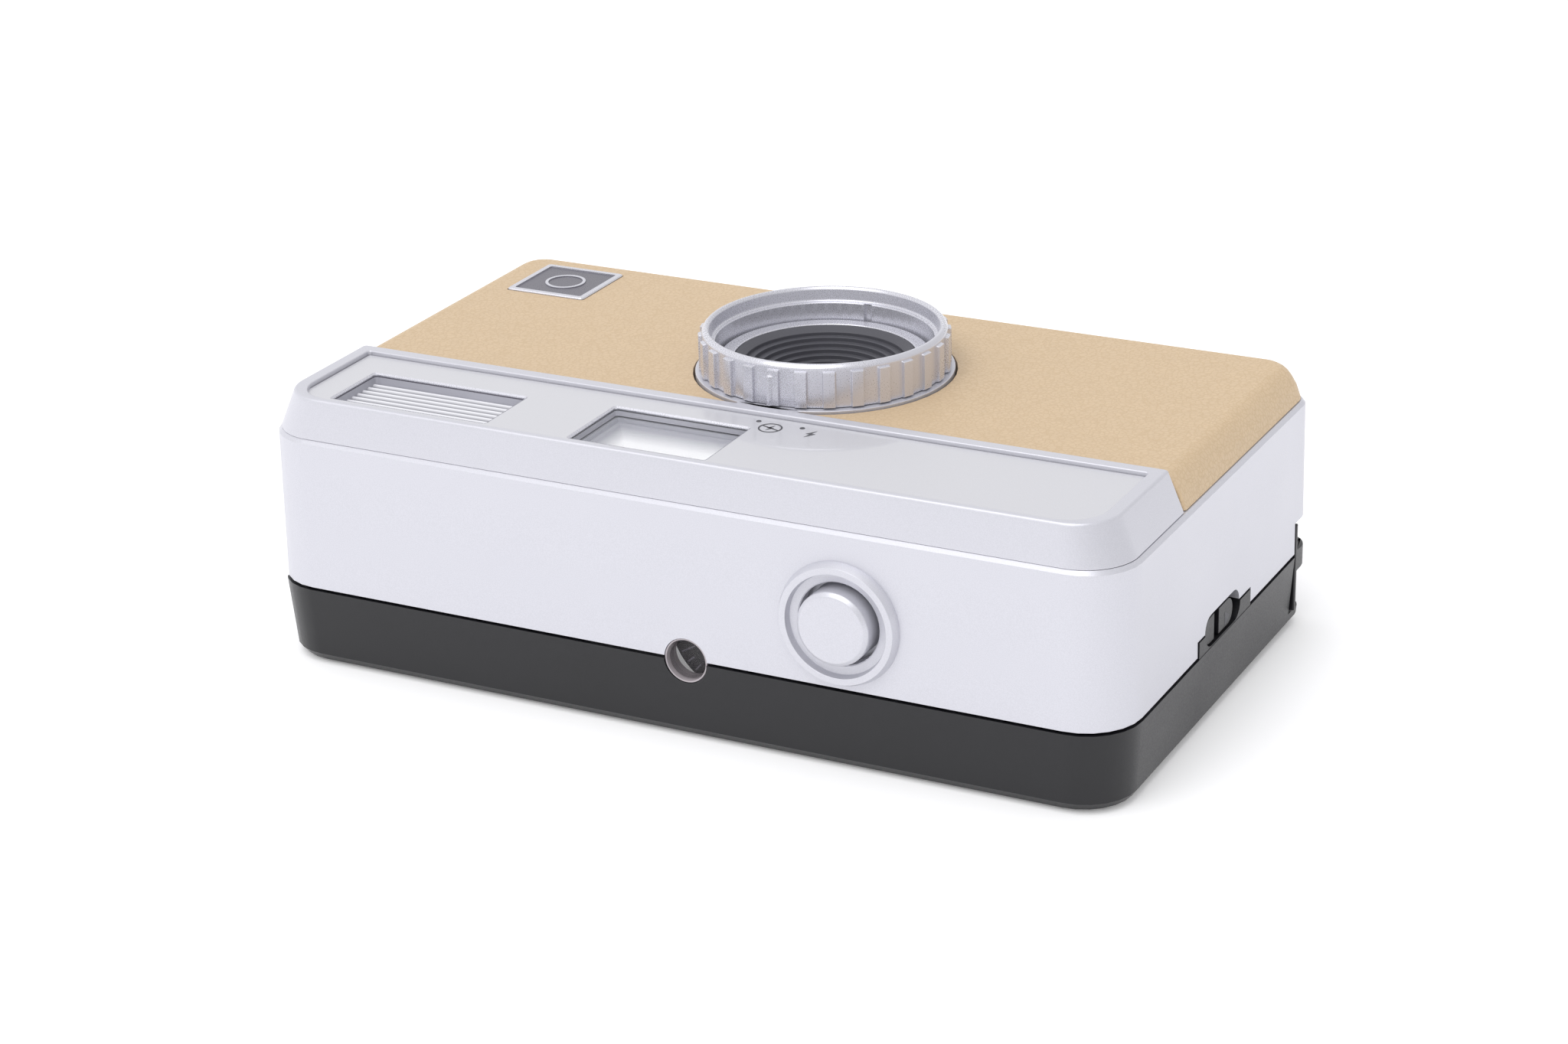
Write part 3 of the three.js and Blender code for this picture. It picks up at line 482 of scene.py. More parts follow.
def finish(key):
    """The finish of that name, made the first time it is asked for."""
    if key not in FINISHES:
        c = bpy.context.scene.camera_colours
        make = {
            "case": lambda: satin_silver("Satin silver paint", tuple(c.silver)),
            "trim": lambda: satin_silver("Bright silver paint", tint(tuple(c.silver), 1.05), 0.28, 0.6),
            "plate": lambda: glossy_silver("Silver under clear plate", tuple(c.plate)),
            "leather": lambda: leatherette("Tan leather cloth", tuple(c.leather), tuple(c.crease)),
            "black": lambda: moulded("Black moulded plastic", tuple(c.black), 0.36),
            "deep": lambda: moulded("Matt black baffle", (0.072, 0.072, 0.085), 0.5),
            "grey": lambda: moulded("Grey window liner", (0.44, 0.44, 0.49), 0.35),
            "pale": lambda: moulded("Pale moulded plastic", (0.86, 0.86, 0.88), 0.4),
            "ink": lambda: moulded("Printed ink", (0.07, 0.07, 0.08), 0.5, 0.002),
            "field": lambda: moulded("Badge field", (0.11, 0.105, 0.13), 0.3, 0.003),
            "clear": lambda: clear("Clear window", (0.30, 0.31, 0.33), 0.03, 0.04),
            "lens": lambda: clear("Counter window", (0.10, 0.09, 0.10), 0.02, 0.08),
            "ridged": ridged,
            "funnel": funnel,
            "pocket": lambda: moulded("Counter pocket", (0.40, 0.365, 0.385), 0.35),
            "glass": lambda: clear("Coated lens glass", (0.35, 0.40, 0.62), 0.01, 0.22, 0.6),
            "mirror": lambda: metal("Polished reflector", (0.88, 0.88, 0.90), 0.08, (0.1, 1, 1)),
            "steel": lambda: metal("Zinc plated steel", (0.62, 0.63, 0.66), 0.28, (1, 1, 0.1)),
            "battery": lambda: metal("Battery sleeve", (0.42, 0.44, 0.48), 0.35, (1, 0.1, 1)),
            "board": lambda: lacquered("Green circuit board", (0.04, 0.20, 0.08), (0.10, 0.36, 0.14)),
        }[key]
        FINISHES[key] = make()
    return FINISHES[key]


# ---- Settings -------------------------------------------------------------------


def colour(name, description, default):
    """A colour that the user may change."""
    return bpy.props.FloatVectorProperty(
        name=name, description=description, subtype="COLOR", size=3, min=0, max=1, default=default)


def length(name, description, default_mm):
    """A length that the user may change, given in millimetres and kept in metres."""
    return bpy.props.FloatProperty(
        name=name, description=description, unit="LENGTH", subtype="DISTANCE", min=0,
        precision=5, default=default_mm * MM)


class CameraColours(bpy.types.PropertyGroup):
    """Colours of the finishes."""

    silver: colour("Silver", "Silver paint of the case and the ring", (0.62, 0.62, 0.67))
    plate: colour("Window plate", "Silver print under the clear window plate", (0.61, 0.61, 0.645))
    leather: colour("Leather cloth", "Tan leather cloth on the front", (0.605, 0.452, 0.284))
    crease: colour("Creases", "Creases between the pebbles of the leather cloth", (0.555, 0.41, 0.252))
    black: colour("Black plastic", "Black plastic of the back and the fittings", (0.006, 0.006, 0.008))


class CameraSizes(bpy.types.PropertyGroup):
    """Sizes that shape the visible surfaces."""

    edge: length("Case edge", "How far the case's edges are rounded off", 0.22)
    rib_width: length("Rib width", "Width of a rib on the flash ring", 1.45)
    rib_start: length("Rib start", "How far below the lip a rib begins", 0.78)
    ridge: length("Cone step", "Width of a step in the lens cone", 0.85)
    dot: length("Dot", "Radius of the printed setting dots", 0.32)
    line: length("Line", "Width of the printed lines", 0.2)


def size(name):
    """One of the user's sizes in millimetres."""
    return getattr(bpy.context.scene.camera_sizes, name) / MM


# ---- Case -----------------------------------------------------------------------


class CAMERA_OT_case(bpy.types.Operator):
    """Silver case with its button collar and hinge lugs, and the tier above it"""

    bl_idname = "half_frame.case"
    bl_label = "Case"

    def execute(self, context):
        stand_for("case_shell", welded("front_shell"), "front_shell", finish("case"), size("edge"))
        self.tier()
        return DONE

    def tier(self):
        """Frame of the tier, a loft through round-cornered outlines, and the flange round the lens.

        Each level says how far it lies below the top, and how far in from the box's sides, its near
        edge and the tier's far edge, with its near corners' radius: up the outside, over the rim and
        down the inside.
        """
        (_, y0, z0), (x1, _, z1) = span("top_bezel")
        far, far_radius = -10.6, 0.35
        tall = z1 - z0 + 0.22
        levels = [
            (tall, 0, 0, 0, 6.2), (tall - 0.12, 0, 0, 0, 6.2), (0.42, 1.78, 0.93, 0, 5.35),
            (0.3, 1.82, 0.98, 0, 5.3), (0.18, 1.88, 1.03, 0, 5.25), (0.07, 1.98, 1.12, 0.05, 5.15),
            (0.01, 2.1, 1.24, 0.16, 5.05), (0, 2.22, 1.34, 0.3, 5.0), (0, 3.42, 1.72, 1.42, 4.6),
            (0.02, 3.5, 1.78, 1.5, 4.55), (0.08, 3.57, 1.84, 1.58, 4.5), (0.18, 3.6, 1.87, 1.62, 4.45),
            (0.62, 3.62, 1.89, 1.64, 4.4), (2.35, 3.62, 1.89, 1.64, 4.4), (2.35, 1.2, 1.25, 0.1, 4.9),
            (tall, 1.2, 1.25, 0.1, 4.9)]
        outlines = [rounded(side - x1, x1 - side, y0 + near, far - end, [r, r, far_radius, far_radius], 16)
                    for _, side, near, end, r in levels]
        loft = lofted(outlines, [z1 - level[0] for level in levels])
        stand_for("top_tier", [(loft, True, True, False)], "top_bezel", finish("case"), crease=50)
        centre = (np.mean(span("lens_bezel"), axis=0)[0], 5.6, 0)
        bore, outside, low, high = 12.75, 15.5, z0 + 2.1, z1 - 0.4
        rim = [[bore, low], [outside, low], [outside, high], [bore, high]]
        collar = revolved(rim, 0.1, centre, "z", 160, 3)
        bridge = [rounded(-1.6 + d, 6.4 - d, far - 1.0, -9.2 - d, 0.2, 3) for d in (0, 0, 0.1)]
        place("lens_flange", [(collar, True, True, False),
                              (lofted(bridge, [low, high - 0.1, high]), True, False, True)],
              ["top_bezel"], finish("case"))


class CAMERA_OT_panel(bpy.types.Operator):
    """Leather cloth panel on the front and the badge plate set into it"""

    bl_idname = "half_frame.panel"
    bl_label = "Leather panel"

    def execute(self, context):
        cloth = footed(welded("leather_panel"), 0.2)
        stand_for("front_panel", cloth, "leather_panel", finish("leather"), 0.25)
        (x0, y0, z0), (x1, y1, z1) = span("badge")
        rim = 0.75
        x0, x1, y0, y1 = x0 - 0.22, x1 + 0.22, y0 - 0.22, y1 + 0.22
        outer, lip, inner = (rounded(x0 + d, x1 - d, y0 + d, y1 - d, r, 4)
                             for d, r in ((0, 0.5), (0.12, 0.4), (rim, 0.25)))
        border = lofted([outer, outer, lip, inner, inner], [z0, z1 - 0.12, z1, z1, z0])
        stand_for("badge_frame", [(border, True, True, False)], "badge", finish("trim"))
        face = z1 - 0.15
        field = lofted([inner, inner], [z0 + 0.05, face])
        place("badge_field", [(field, True, False, True)], ["badge"], finish("field"))
        centre = ((x0 + x1) / 2, (y0 + y1) / 2, face)
        bead = revolved([[2.2, 0], [2.6, 0], [2.6, 0.14], [2.2, 0.14]], 0.05, centre, "z", 64, 2)
        place("badge_ring", [(bead, True, True, False)], ["badge"], finish("trim"))
        return DONE


class CAMERA_OT_back(bpy.types.Operator):
    """Black back door with its hinge, and the bar in the corner for the wrist strap"""

    bl_idname = "half_frame.back"
    bl_label = "Back door"

    def execute(self, context):
        stand_for("door_shell", welded("back_door"), "back_door", finish("black"), 0.15)
        stand_for("strap_holder", welded("strap_bar"), "strap_bar", finish("black"), 0.15)
        return DONE


# ---- Windows --------------------------------------------------------------------


def tube_round(box, steps):
    """Rectangular tube from (inset, height) corners carried round a window's outline."""
    x0, x1, y0, y1 = box
    outlines = [rounded(x0 + inset, x1 - inset, y0 + inset, y1 - inset, 0.4, 3) for inset, _ in steps]
    return lofted(outlines, [height for _, height in steps]), True, True, False


def window_frame(name, node, depth, gap_shade_key):
    """Sloping silver edge, a dark ring under it that is painted shade in the gap, and the grey wall that
    runs down to the window.
    """
    (x0, y0, _), (x1, y1, _) = span(node)
    top = span("window_inlay")[1][2]
    box = (x0 - 0.3, x1 + 0.3, y0 - 0.3, y1 + 0.3)
    under, base = top - 0.3, top - 0.44
    for part, key, steps in (
            ("edge", "trim", [(0, under), (0, top + 0.02), (0.22, top - 0.16), (0.22, under)]),
            # painted shade: a dark ring standing for the shade in the gap under the silver edge
            ("seal", gap_shade_key, [(0.05, base), (0.05, under), (0.27, under), (0.27, base)]),
            ("wall", "grey", [(0.05, top - depth), (0.05, base), (0.33, base), (0.42, top - depth)])):
        place(f"{name}_{part}", [tube_round(box, steps)], [node], finish(key))


class CAMERA_OT_windows(bpy.types.Operator):
    """Clear window plate, ridged flash window with its reflector, and the viewfinder"""

    bl_idname = "half_frame.windows"
    bl_label = "Windows"

    def execute(self, context):
        stand_for("window_plate", welded("window_inlay"), "window_inlay", finish("plate"), 0.06)
        # painted shade: the dark ring in the gap takes the badge field colour at the flash and the ink
        # colour at the finder
        window_frame("flash_frame", "flash_lens", 1.5, "field")
        window_frame("finder_frame", "finder_window", 1.0, "ink")
        self.ridges()
        stand_for("flash_bowl", welded("flash_reflector"), "flash_reflector", finish("mirror"), 0.1)
        self.flash_tube()
        stand_for("finder_pane", welded("finder_window"), "finder_window", finish("clear"), 0.1)
        self.finder()
        stand_for("finder_eye", welded("finder_eyepiece"), "finder_eyepiece", finish("clear"), 0.15)
        return DONE

    def ridges(self):
        """Ridged window: z = top - a (1 - sin^2(pi y / pitch)) over the whole length of X."""
        (x0, y0, z0), (x1, y1, z1) = span("flash_lens")
        y = np.linspace(y0, y1, RIDGES * 12 + 1)
        z = z1 - 0.02 - 0.24 * (1 - np.sin((y - y0) / (y1 - y0) * RIDGES * math.pi) ** 2)
        edge = np.vstack([np.stack([y, z], 1), [[y1, z0], [y0, z0]]])
        pane = np.stack([np.insert(edge, 0, x, axis=1) for x in (x0, x1)], 1)
        stand_for("flash_ridges", [(pane, True, False, True)], "flash_lens", finish("ridged"), crease=60)

    def finder(self):
        """Finder box: a step under the window, then four walls that close in towards the back.

        A loft through rectangles, up the outside and down the inside, each inset a little more.
        """
        (x0, y0, z0), (x1, y1, z1) = span("finder_tunnel")
        (u0, v0, base), (u1, v1, _) = span("finder_window")
        top = base - 0.1
        body = rounded(x0, x1, y0, y1, 0.6, 4)
        mouth = rounded(u0 - 0.1, u1 + 0.1, v0 - 0.1, v1 + 0.1, 0.5, 4)
        outlines, heights = [body, body, mouth, mouth], [z0, z1, top - 0.9, top]
        for height, inset in ((top, 0.4), (top - 0.5, 0.5), (top - 0.55, 0.95), (top - 4.2, 1.9),
                              (z0 + 0.4, 2.9), (z0, 2.9)):
            outlines.append(rounded(u0 + inset, u1 - inset, v0 + inset * 0.8, v1 - inset * 0.8, 0.12, 4))
            heights.append(height)
        stand_for("finder_box", [(lofted(outlines, heights), True, True, False)], "finder_tunnel",
                  finish("funnel"), crease=25)

    def flash_tube(self):
        """Glass tube with metal end caps: profile turned about the X axis."""
        (x0, y0, z0), (x1, y1, z1) = span("flash_tube")
        r = (z1 - z0) / 2
        ends = [[0, x0], [r, x0], [r, x0 + 1.6], [r * 0.9, x0 + 1.8], [r * 0.9, x1 - 1.8],
                [r, x1 - 1.6], [r, x1], [0, x1]]
        tube = revolved(ends, 0.2, (0, (y0 + y1) / 2, (z0 + z1) / 2), "x", 24, 3, closed=False)
        stand_for("flash_bulb", [(tube, True, False, False)], "flash_tube", finish("pale"))


def ribbon(path, width, height, base):
    """Flat raised line: a rectangle of that width and height carried along a plane path.

    Each cross-section is the path point plus and minus half a width along the local normal.
    """
    p = np.asarray(path, float)
    ahead = np.gradient(p, axis=0)
    ahead /= np.linalg.norm(ahead, axis=1, keepdims=True)
    normal = np.stack([-ahead[:, 1], ahead[:, 0]], 1) * width / 2
    left, right = p + normal, p - normal
    low = np.full((len(p), 1), base)
    corners = [np.hstack([left, low]), np.hstack([right, low]),
               np.hstack([right, low + height]), np.hstack([left, low + height])]
    return np.stack(corners, 1)


class CAMERA_OT_marks(bpy.types.Operator):
    """Printed setting marks: a dot and a crossed-out flash sign, a dot and a flash sign"""

    bl_idname = "half_frame.marks"
    bl_label = "Printed marks"

    def execute(self, context):
        base = span("window_inlay")[1][2] + 0.005
        line, thick, dot = size("line"), 0.02, size("dot")
        crossed, plain = (5.75, -15.35), (10.85, -15.3)
        grids = []
        for x, y in ((3.55, -13.9), (9.15, -13.98)):
            disc = revolved([[0, 0], [dot, 0], [dot, thick], [0, thick]], 0.005, (x, y, base), "z", 24, 1,
                            closed=False)
            grids.append((disc, True, False, False))
        bolt = np.array([[0.3, 1.06], [-0.52, -0.12], [-0.06, -0.1],
                         [-0.3, -1.06], [0.52, 0.12], [0.06, 0.1]])
        for spot, share in ((crossed, 0.78), (plain, 1.05)):
            sign = bolt * share + spot
            grids.append((lofted([sign, sign], [base, base + thick]), True, False, True))
        t = np.linspace(0, 2 * math.pi, 49)[:-1]
        circle = crossed + 1.32 * np.stack([np.cos(t), np.sin(t)], 1)
        hoop = ribbon(np.vstack([circle, circle[:1]]), line, thick, base)
        grids.append((hoop[:-1], True, True, False))
        bar = crossed + np.linspace(-1.25, 1.25, 6)[:, None] * np.array([0.94, -0.34])
        grids.append((ribbon(bar, line, thick, base), False, True, True))
        place("setting_marks", grids, ["window_inlay"], finish("ink"))
        return DONE


# ---- Lens and flash ring ----------------------------------------------------------


def smooth(x):
    """0 below 0, 1 above 1, and 3x^2 - 2x^3 between."""
    x = np.clip(x, 0, 1)
    return x * x * (3 - 2 * x)


class CAMERA_OT_flash_ring(bpy.types.Operator):
    """Turning ring round the lens, with ribs for the fingers and a pointer"""

    bl_idname = "half_frame.flash_ring"
    bl_label = "Flash ring"

    COUNT = 28
    POINTER = math.radians(-87.5)

    def execute(self, context):
        """Radius at (u, h) is the profile's r plus rib(u) start(h), a fin at the pointer, less a notch."""
        (x0, y0, z0), (x1, y1, z1) = span("flash_ring")
        centre = (*np.mean(span("lens_bezel"), axis=0)[:2], 0)
        body, rib, bore = 14.62, 0.42, 12.95
        z0 -= 0.2
        start = z1 - size("rib_start")
        fin_start = start - 0.75
        outer = [z0 + 0.12, start - 0.35, start - 0.12, start - 0.06, start, start + 0.06]
        fin = [fin_start - 0.2, fin_start - 0.08, fin_start, fin_start + 0.08]
        levels = np.unique(np.round(outer + fin, 4))
        corner = [[bore, z0], [body, z0]] + [[body, z] for z in levels]
        corner += [[body, z1 - 0.42], [body - 0.4, z1], [13.95, z1], [13.68, z1 - 0.28],
                   [13.55, z1 - 1.72], [bore + 0.08, z1 - 1.78], [bore, z0 + 0.6]]
        reach = [0.08, 0.1] + [0.0005] * len(levels) + [0.25, 0.12, 0.1, 0.1, 0.25, 0.14, 0.2]
        shape = softened(corner, reach, 4)
        r, h = shape[:, 0], shape[:, 1]
        half, soft = size("rib_width") / 2, 0.13
        across = np.concatenate([
            np.linspace(-half - soft, -half + soft, 7), np.linspace(-half + soft, half - soft, 5)[1:-1],
            np.linspace(half - soft, half + soft, 7)])
        pitch = 2 * math.pi / self.COUNT
        between = np.linspace(half + soft, pitch * body - half - soft, 6)[1:-1]
        one = np.concatenate([across, between]) / body
        angles = (self.POINTER + np.arange(self.COUNT)[:, None] * pitch + one[None]).ravel()
        s = (np.mod(angles - self.POINTER + pitch / 2, pitch) - pitch / 2) * body
        ribs = smooth((half + soft / 2 - np.abs(s)) / soft)
        outside = smooth((r - 14.0) / 0.4) * (h < z1 - 0.2)
        lift = rib * smooth((start + 0.05 - h) / 0.12) * smooth((h - z0) / 0.2 + 0.4) * outside
        away = (np.mod(angles - self.POINTER + math.pi, 2 * math.pi) - math.pi) * body
        fins = smooth((0.3 - np.abs(away + 0.42)) / 0.12)
        fin_lift = 0.34 * smooth((fin_start + 0.04 - h) / 0.12) * outside
        back = (np.mod(angles - self.POINTER, 2 * math.pi) - math.pi) * bore
        notch = smooth((0.42 - np.abs(back)) / 0.12)
        inside = (r < bore + 0.2) * smooth((z1 - 1.75 - h) / 0.1) * 0.32
        radius = r[None] + ribs[:, None] * lift + fins[:, None] * fin_lift + notch[:, None] * inside
        radius = np.minimum(radius, (x1 - x0) / 2 + 0.3)
        grid = turned((radius, h), centre, angles=angles)
        stand_for("ribbed_ring", [(grid, True, True, False)], "flash_ring", finish("trim"), crease=40)
        return DONE


class CAMERA_OT_lens(bpy.types.Operator):
    """Silver collar, stepped black cone, two lens elements, shutter plate and blade"""

    bl_idname = "half_frame.lens"
    bl_label = "Lens"

    def execute(self, context):
        low, high = span("lens_bezel")
        centre = (*((low + high) / 2)[:2], 0)
        outer, inner, top = (high[0] - low[0]) / 2, (high[0] - low[0]) / 2 - 1.72, high[2]
        band = [[inner, low[2]], [outer, low[2]], [outer, top], [inner, top]]
        ring = revolved(band, 0.18, centre, "z", 128)
        stand_for("lens_collar", [(ring, True, True, False)], "lens_bezel", finish("trim"))
        self.cone(centre, inner - 0.12)
        for name, node, thick in (("front_element", "front_lens", 0.6), ("rear_element", "rear_lens", 0.5)):
            (x0, _, z0), (x1, _, z1) = span(node)
            r = (x1 - x0) / 2
            t = np.linspace(0, 1, 12)
            dome = np.stack([r * (1 - t), z1 - thick * (1 - t) ** 2], 1)
            profile = np.vstack([[[0, z0], [r, z0]], dome])
            element = turned((profile[:, 0], profile[:, 1]), centre, count=64)
            stand_for(name, [(element, True, False, False)], node, finish("glass"))
        stand_for("shutter_base", welded("shutter_plate"), "shutter_plate", finish("deep"), 0.1)
        stand_for("shutter_leaf", welded("shutter_blade"), "shutter_blade", finish("deep"), 0.05)
        return DONE

    def cone(self, centre, rim):
        """Steps of equal run and drop from the rim down to the lens, turned about the lens axis."""
        (_, _, z0), (_, _, z1) = span("lens_cone")
        run, drop, first = size("ridge"), 0.46, (rim - 1.15, z1 - 0.62)
        count = 8
        steps = [[rim, z0], [rim, z1 - 0.03], first]
        for k in range(count):
            r, z = first[0] - k * run, first[1] - k * drop
            steps += [[r + 0.04, z - drop], [r - run, z - drop + 0.08]]
        steps += [[3.4, first[1] - count * drop - 0.3], [3.4, z0]]
        stand_for("stepped_cone", [(revolved(steps, 0.09, centre, "z", 128, 3), True, True, False)],
                  "lens_cone", finish("deep"))


# ---- Button and counter -----------------------------------------------------------


def turned_piece(name, node, corners, reach, key, count=96):
    """A solid turned about the line along Y through the middle of its CAD node's box."""
    middle = np.mean(span(node), axis=0) * (1, 0, 1)
    grid = revolved(corners, reach, middle, "y", count, 5, closed=False)
    stand_for(name, [(grid, True, False, False)], node, finish(key))


class CAMERA_OT_button(bpy.types.Operator):
    """Shutter button and its coiled return spring"""

    bl_idname = "half_frame.button"
    bl_label = "Shutter button"

    def execute(self, context):
        low, high = span("shutter_button")
        face, end = low[1], high[1]
        flange, r = end - 1.4, (high[0] - low[0]) / 2 - 0.9
        reach = np.array([0.1, 0.1, 0.14, 0.05, 0.1, 0.1, 0.1, 0.1, 0.1])
        turned_piece("release_button", "shutter_button", [
            [0, face + 0.03], [r - 0.48, face], [r, face + 0.4], [r + 0.02, flange], [r + 0.9, flange],
            [r + 0.9, flange + 0.7], [1.8, flange + 0.7], [1.8, end], [0, end]], reach, "case", 128)
        self.collar((low + high) / 2 * (1, 0, 1), span("front_shell")[0][1])
        self.spring()
        return DONE

    def collar(self, centre, face):
        """Lip round the button's bore and the sloping step outside it, turned about the button's axis."""
        step = [[5.0, face + 2.6], [5.0, face + 0.92], [6.0, face + 0.88], [6.17, face - 0.04],
                [6.95, face - 0.04], [7.3, face + 0.7], [7.38, face + 1.0], [7.38, face + 1.2]]
        reach = np.array([0.02, 0.08, 0.06, 0.06, 0.06, 0.05, 0.02, 0.02])
        ring = revolved(step, reach, centre, "y", 128, 3, closed=False)
        place("button_collar", [(ring, True, True, False)], ["front_shell"], finish("case"), crease=22)

    def spring(self):
        """Coil: a circle of the wire's radius carried along the helix (R sin a, height, R cos a)."""
        low, high = span("button_spring")
        turns, wire, gap = 3, 0.16, 0.15
        share = np.linspace(0, 1, turns * 24)
        angle = share * turns * 2 * math.pi
        out = np.stack([np.sin(angle), np.zeros_like(angle), np.cos(angle)], 1)
        spine = (low + high) / 2 * (1, 0, 1) + ((high[0] - low[0]) / 2 - wire) * out
        spine[:, 1] = low[1] + gap + wire + share * (high[1] - low[1] - gap - 2 * wire)
        t = np.linspace(0, 2 * math.pi, 9)[None, :-1, None]
        coil = spine[:, None] + wire * (np.cos(t) * out[:, None] + np.sin(t) * np.array([0.0, 1.0, 0.0]))
        stand_for("return_spring", [(coil, False, True, True)], "button_spring", finish("steel"))


class CAMERA_OT_counter(bpy.types.Operator):
    """Frame counter: domed window and the disc under it with its frame ticks"""

    bl_idname = "half_frame.counter"
    bl_label = "Frame counter"

    def execute(self, context):
        (x0, top, z0), (x1, end, z1) = span("counter_window")
        bore = (x1 - x0) / 2
        glass = bore - 0.28
        dome = [[glass * a, top + 0.42 * a * a] for a in np.linspace(0, 1, 10)[1:]]
        turned_piece("counter_dome", "counter_window",
                     [[0, top], *dome, [glass, end], [0, end]], 0.04, "lens", 64)
        low, high = span("counter_disc")
        rim, face, under = (high[0] - low[0]) / 2, low[1], low[1] + 0.6
        turned_piece("counter_dial", "counter_disc", [
            [0, face], [rim, face], [rim, under], [1.4, under], [1.4, high[1]], [0, high[1]]],
            0.08, "black")
        inner, outer, lip, foot = bore - 0.1, bore + 0.1, top - 0.03, end + 1.0
        sleeve = revolved([[inner, lip], [outer, lip], [outer, foot], [inner, foot]], 0.05,
                          ((x0 + x1) / 2, 0, (z0 + z1) / 2), "y", 64, 2)
        place("counter_sleeve", [(sleeve, True, True, False)], ["counter_window"], finish("pocket"))
        self.ticks((low + high) / 2, face, rim)
        return DONE

    def ticks(self, middle, face, rim):
        """Radial ribbons just inside the disc's edge, one for each frame, every sixth one longer."""
        grids = []
        for k in range(36):
            angle = 2 * math.pi * k / 36
            out = np.array([math.sin(angle), math.cos(angle)])
            reach = 2.0 if k % 6 == 0 else 1.1
            strip = ribbon(np.linspace(rim - 0.4 - reach, rim - 0.4, 3)[:, None] * out, 0.18, 0.02, 0.0)
            x, z, height = strip[..., 0], strip[..., 1], strip[..., 2]
            grids.append((np.stack([x + middle[0], face - height, z + middle[2]], -1), False, True, True))
        place("dial_ticks", grids, ["counter_disc"], finish("field"))


# ---- Film transport, rewind, battery, latch ------------------------------------------


class CAMERA_OT_transport(bpy.types.Operator):
    """Film chassis, spool, sprocket, milled thumb wheel, pressure plate and screws"""

    bl_idname = "half_frame.transport"
    bl_label = "Film transport"

    def execute(self, context):
        for name, node, key, soft in (
                ("film_frame", "film_chassis", "deep", 0.12),
                ("film_spool", "take_up_spool", "black", 0.12),
                ("film_sprocket", "sprocket_shaft", "pale", 0.1),
                ("film_pressure_plate", "pressure_plate", "black", 0.15),
                ("plate_spring", "pressure_spring", "steel", 0.06),
                ("hinge_rod", "hinge_pin", "steel", 0.08)):
            stand_for(name, welded(node), node, finish(key), soft)
        for k in range(1, 5):
            node = f"chassis_screw_{k}"
            stand_for(f"frame_screw_{k}", welded(node), node, finish("steel"), 0.08)
        self.wheel()
        return DONE

    def wheel(self):
        """Milled wheel: the rim's radius dips by a V wave, r - d |sin|, round the turn."""
        low, high = span("thumb_wheel")
        middle = (low + high) / 2
        middle[1] = 0
        r, y0, y1 = (high[2] - low[2]) / 2, low[1], high[1]
        teeth, per = 48, 10
        u = np.linspace(0, 2 * math.pi, teeth * per, endpoint=False)
        shape = softened([[0, y0 + 1.2], [8.4, y0 + 1.2], [8.6, y0], [r, y0], [r, y1], [0, y1]],
                         [[0.1], [0.3], [0.2], [0.5], [0.5], [0.1]], 4, closed=False)
        dip = 0.42 * np.abs(np.sin(u * teeth / 2)) ** 0.7
        on_rim = smooth((shape[:, 0] - (r - 0.7)) / 0.5)
        radius = shape[:, 0] - dip[:, None] * on_rim
        grid = turned((radius, shape[:, 1]), middle, "y", angles=u)
        stand_for("milled_wheel", [(grid, True, False, False)], "thumb_wheel", finish("black"), crease=50)


class CAMERA_OT_underside(bpy.types.Operator):
    """Rewind crank, rewind button and battery cover on the underside"""

    bl_idname = "half_frame.underside"
    bl_label = "Underside"

    def execute(self, context):
        for name, node, key, soft in (
                ("rewind_dial", "rewind_crank", "black", 0.12),
                ("rewind_arm", "crank_handle", "black", 0.1),
                ("rewind_knob", "crank_knob", "black", 0.12),
                ("battery_door", "battery_cover", "case", 0.15),
                ("battery", "battery_cell", "battery", 0.3),
                ("battery_spring_plate", "battery_contact_top", "steel", 0.1),
                ("battery_cover_plate", "battery_contact_cover", "steel", 0.1),
                ("flash_circuit", "flash_board", "board", 0.1),
                ("flash_store", "flash_capacitor", "black", 0.3)):
            stand_for(name, welded(node), node, finish(key), soft)
        low, high = span("rewind_button")
        r = (high[0] - low[0]) / 2
        turned_piece("rewind_release", "rewind_button", [
            [0, low[1]], [r, low[1]], [r, low[1] + 0.7], [r - 0.9, low[1] + 0.7],
            [r - 0.9, high[1]], [1.1, high[1]], [0, high[1] - 0.35]], 0.15, "black", 64)
        return DONE


class CAMERA_OT_latch(bpy.types.Operator):
    """Slider that locks the back door, with its engraved arrow"""

    bl_idname = "half_frame.latch"
    bl_label = "Door latch"

    def execute(self, context):
        stand_for("latch_thumb", welded("latch_slider"), "latch_slider", finish("black"), 0.12)
        x1 = span("latch_slider")[1][0]
        corners = np.array([[1.74, 12.16], [3.32, 11.23], [1.87, 10.38]])
        arrow = np.stack([np.insert(corners, 0, x, axis=1) for x in (x1 - 0.1, x1 + 0.02)], 1)
        place("latch_arrow", [(arrow, True, False, True)], ["latch_slider"], finish("ink"))
        return DONE


# ---- Stage -------------------------------------------------------------------------


def posed(right, up, back, at):
    """Matrix of a thing at a point, from the directions of its three axes."""
    return Matrix(np.vstack([np.stack([right, up, back, at], 1), (0, 0, 0, 1)]).tolist())


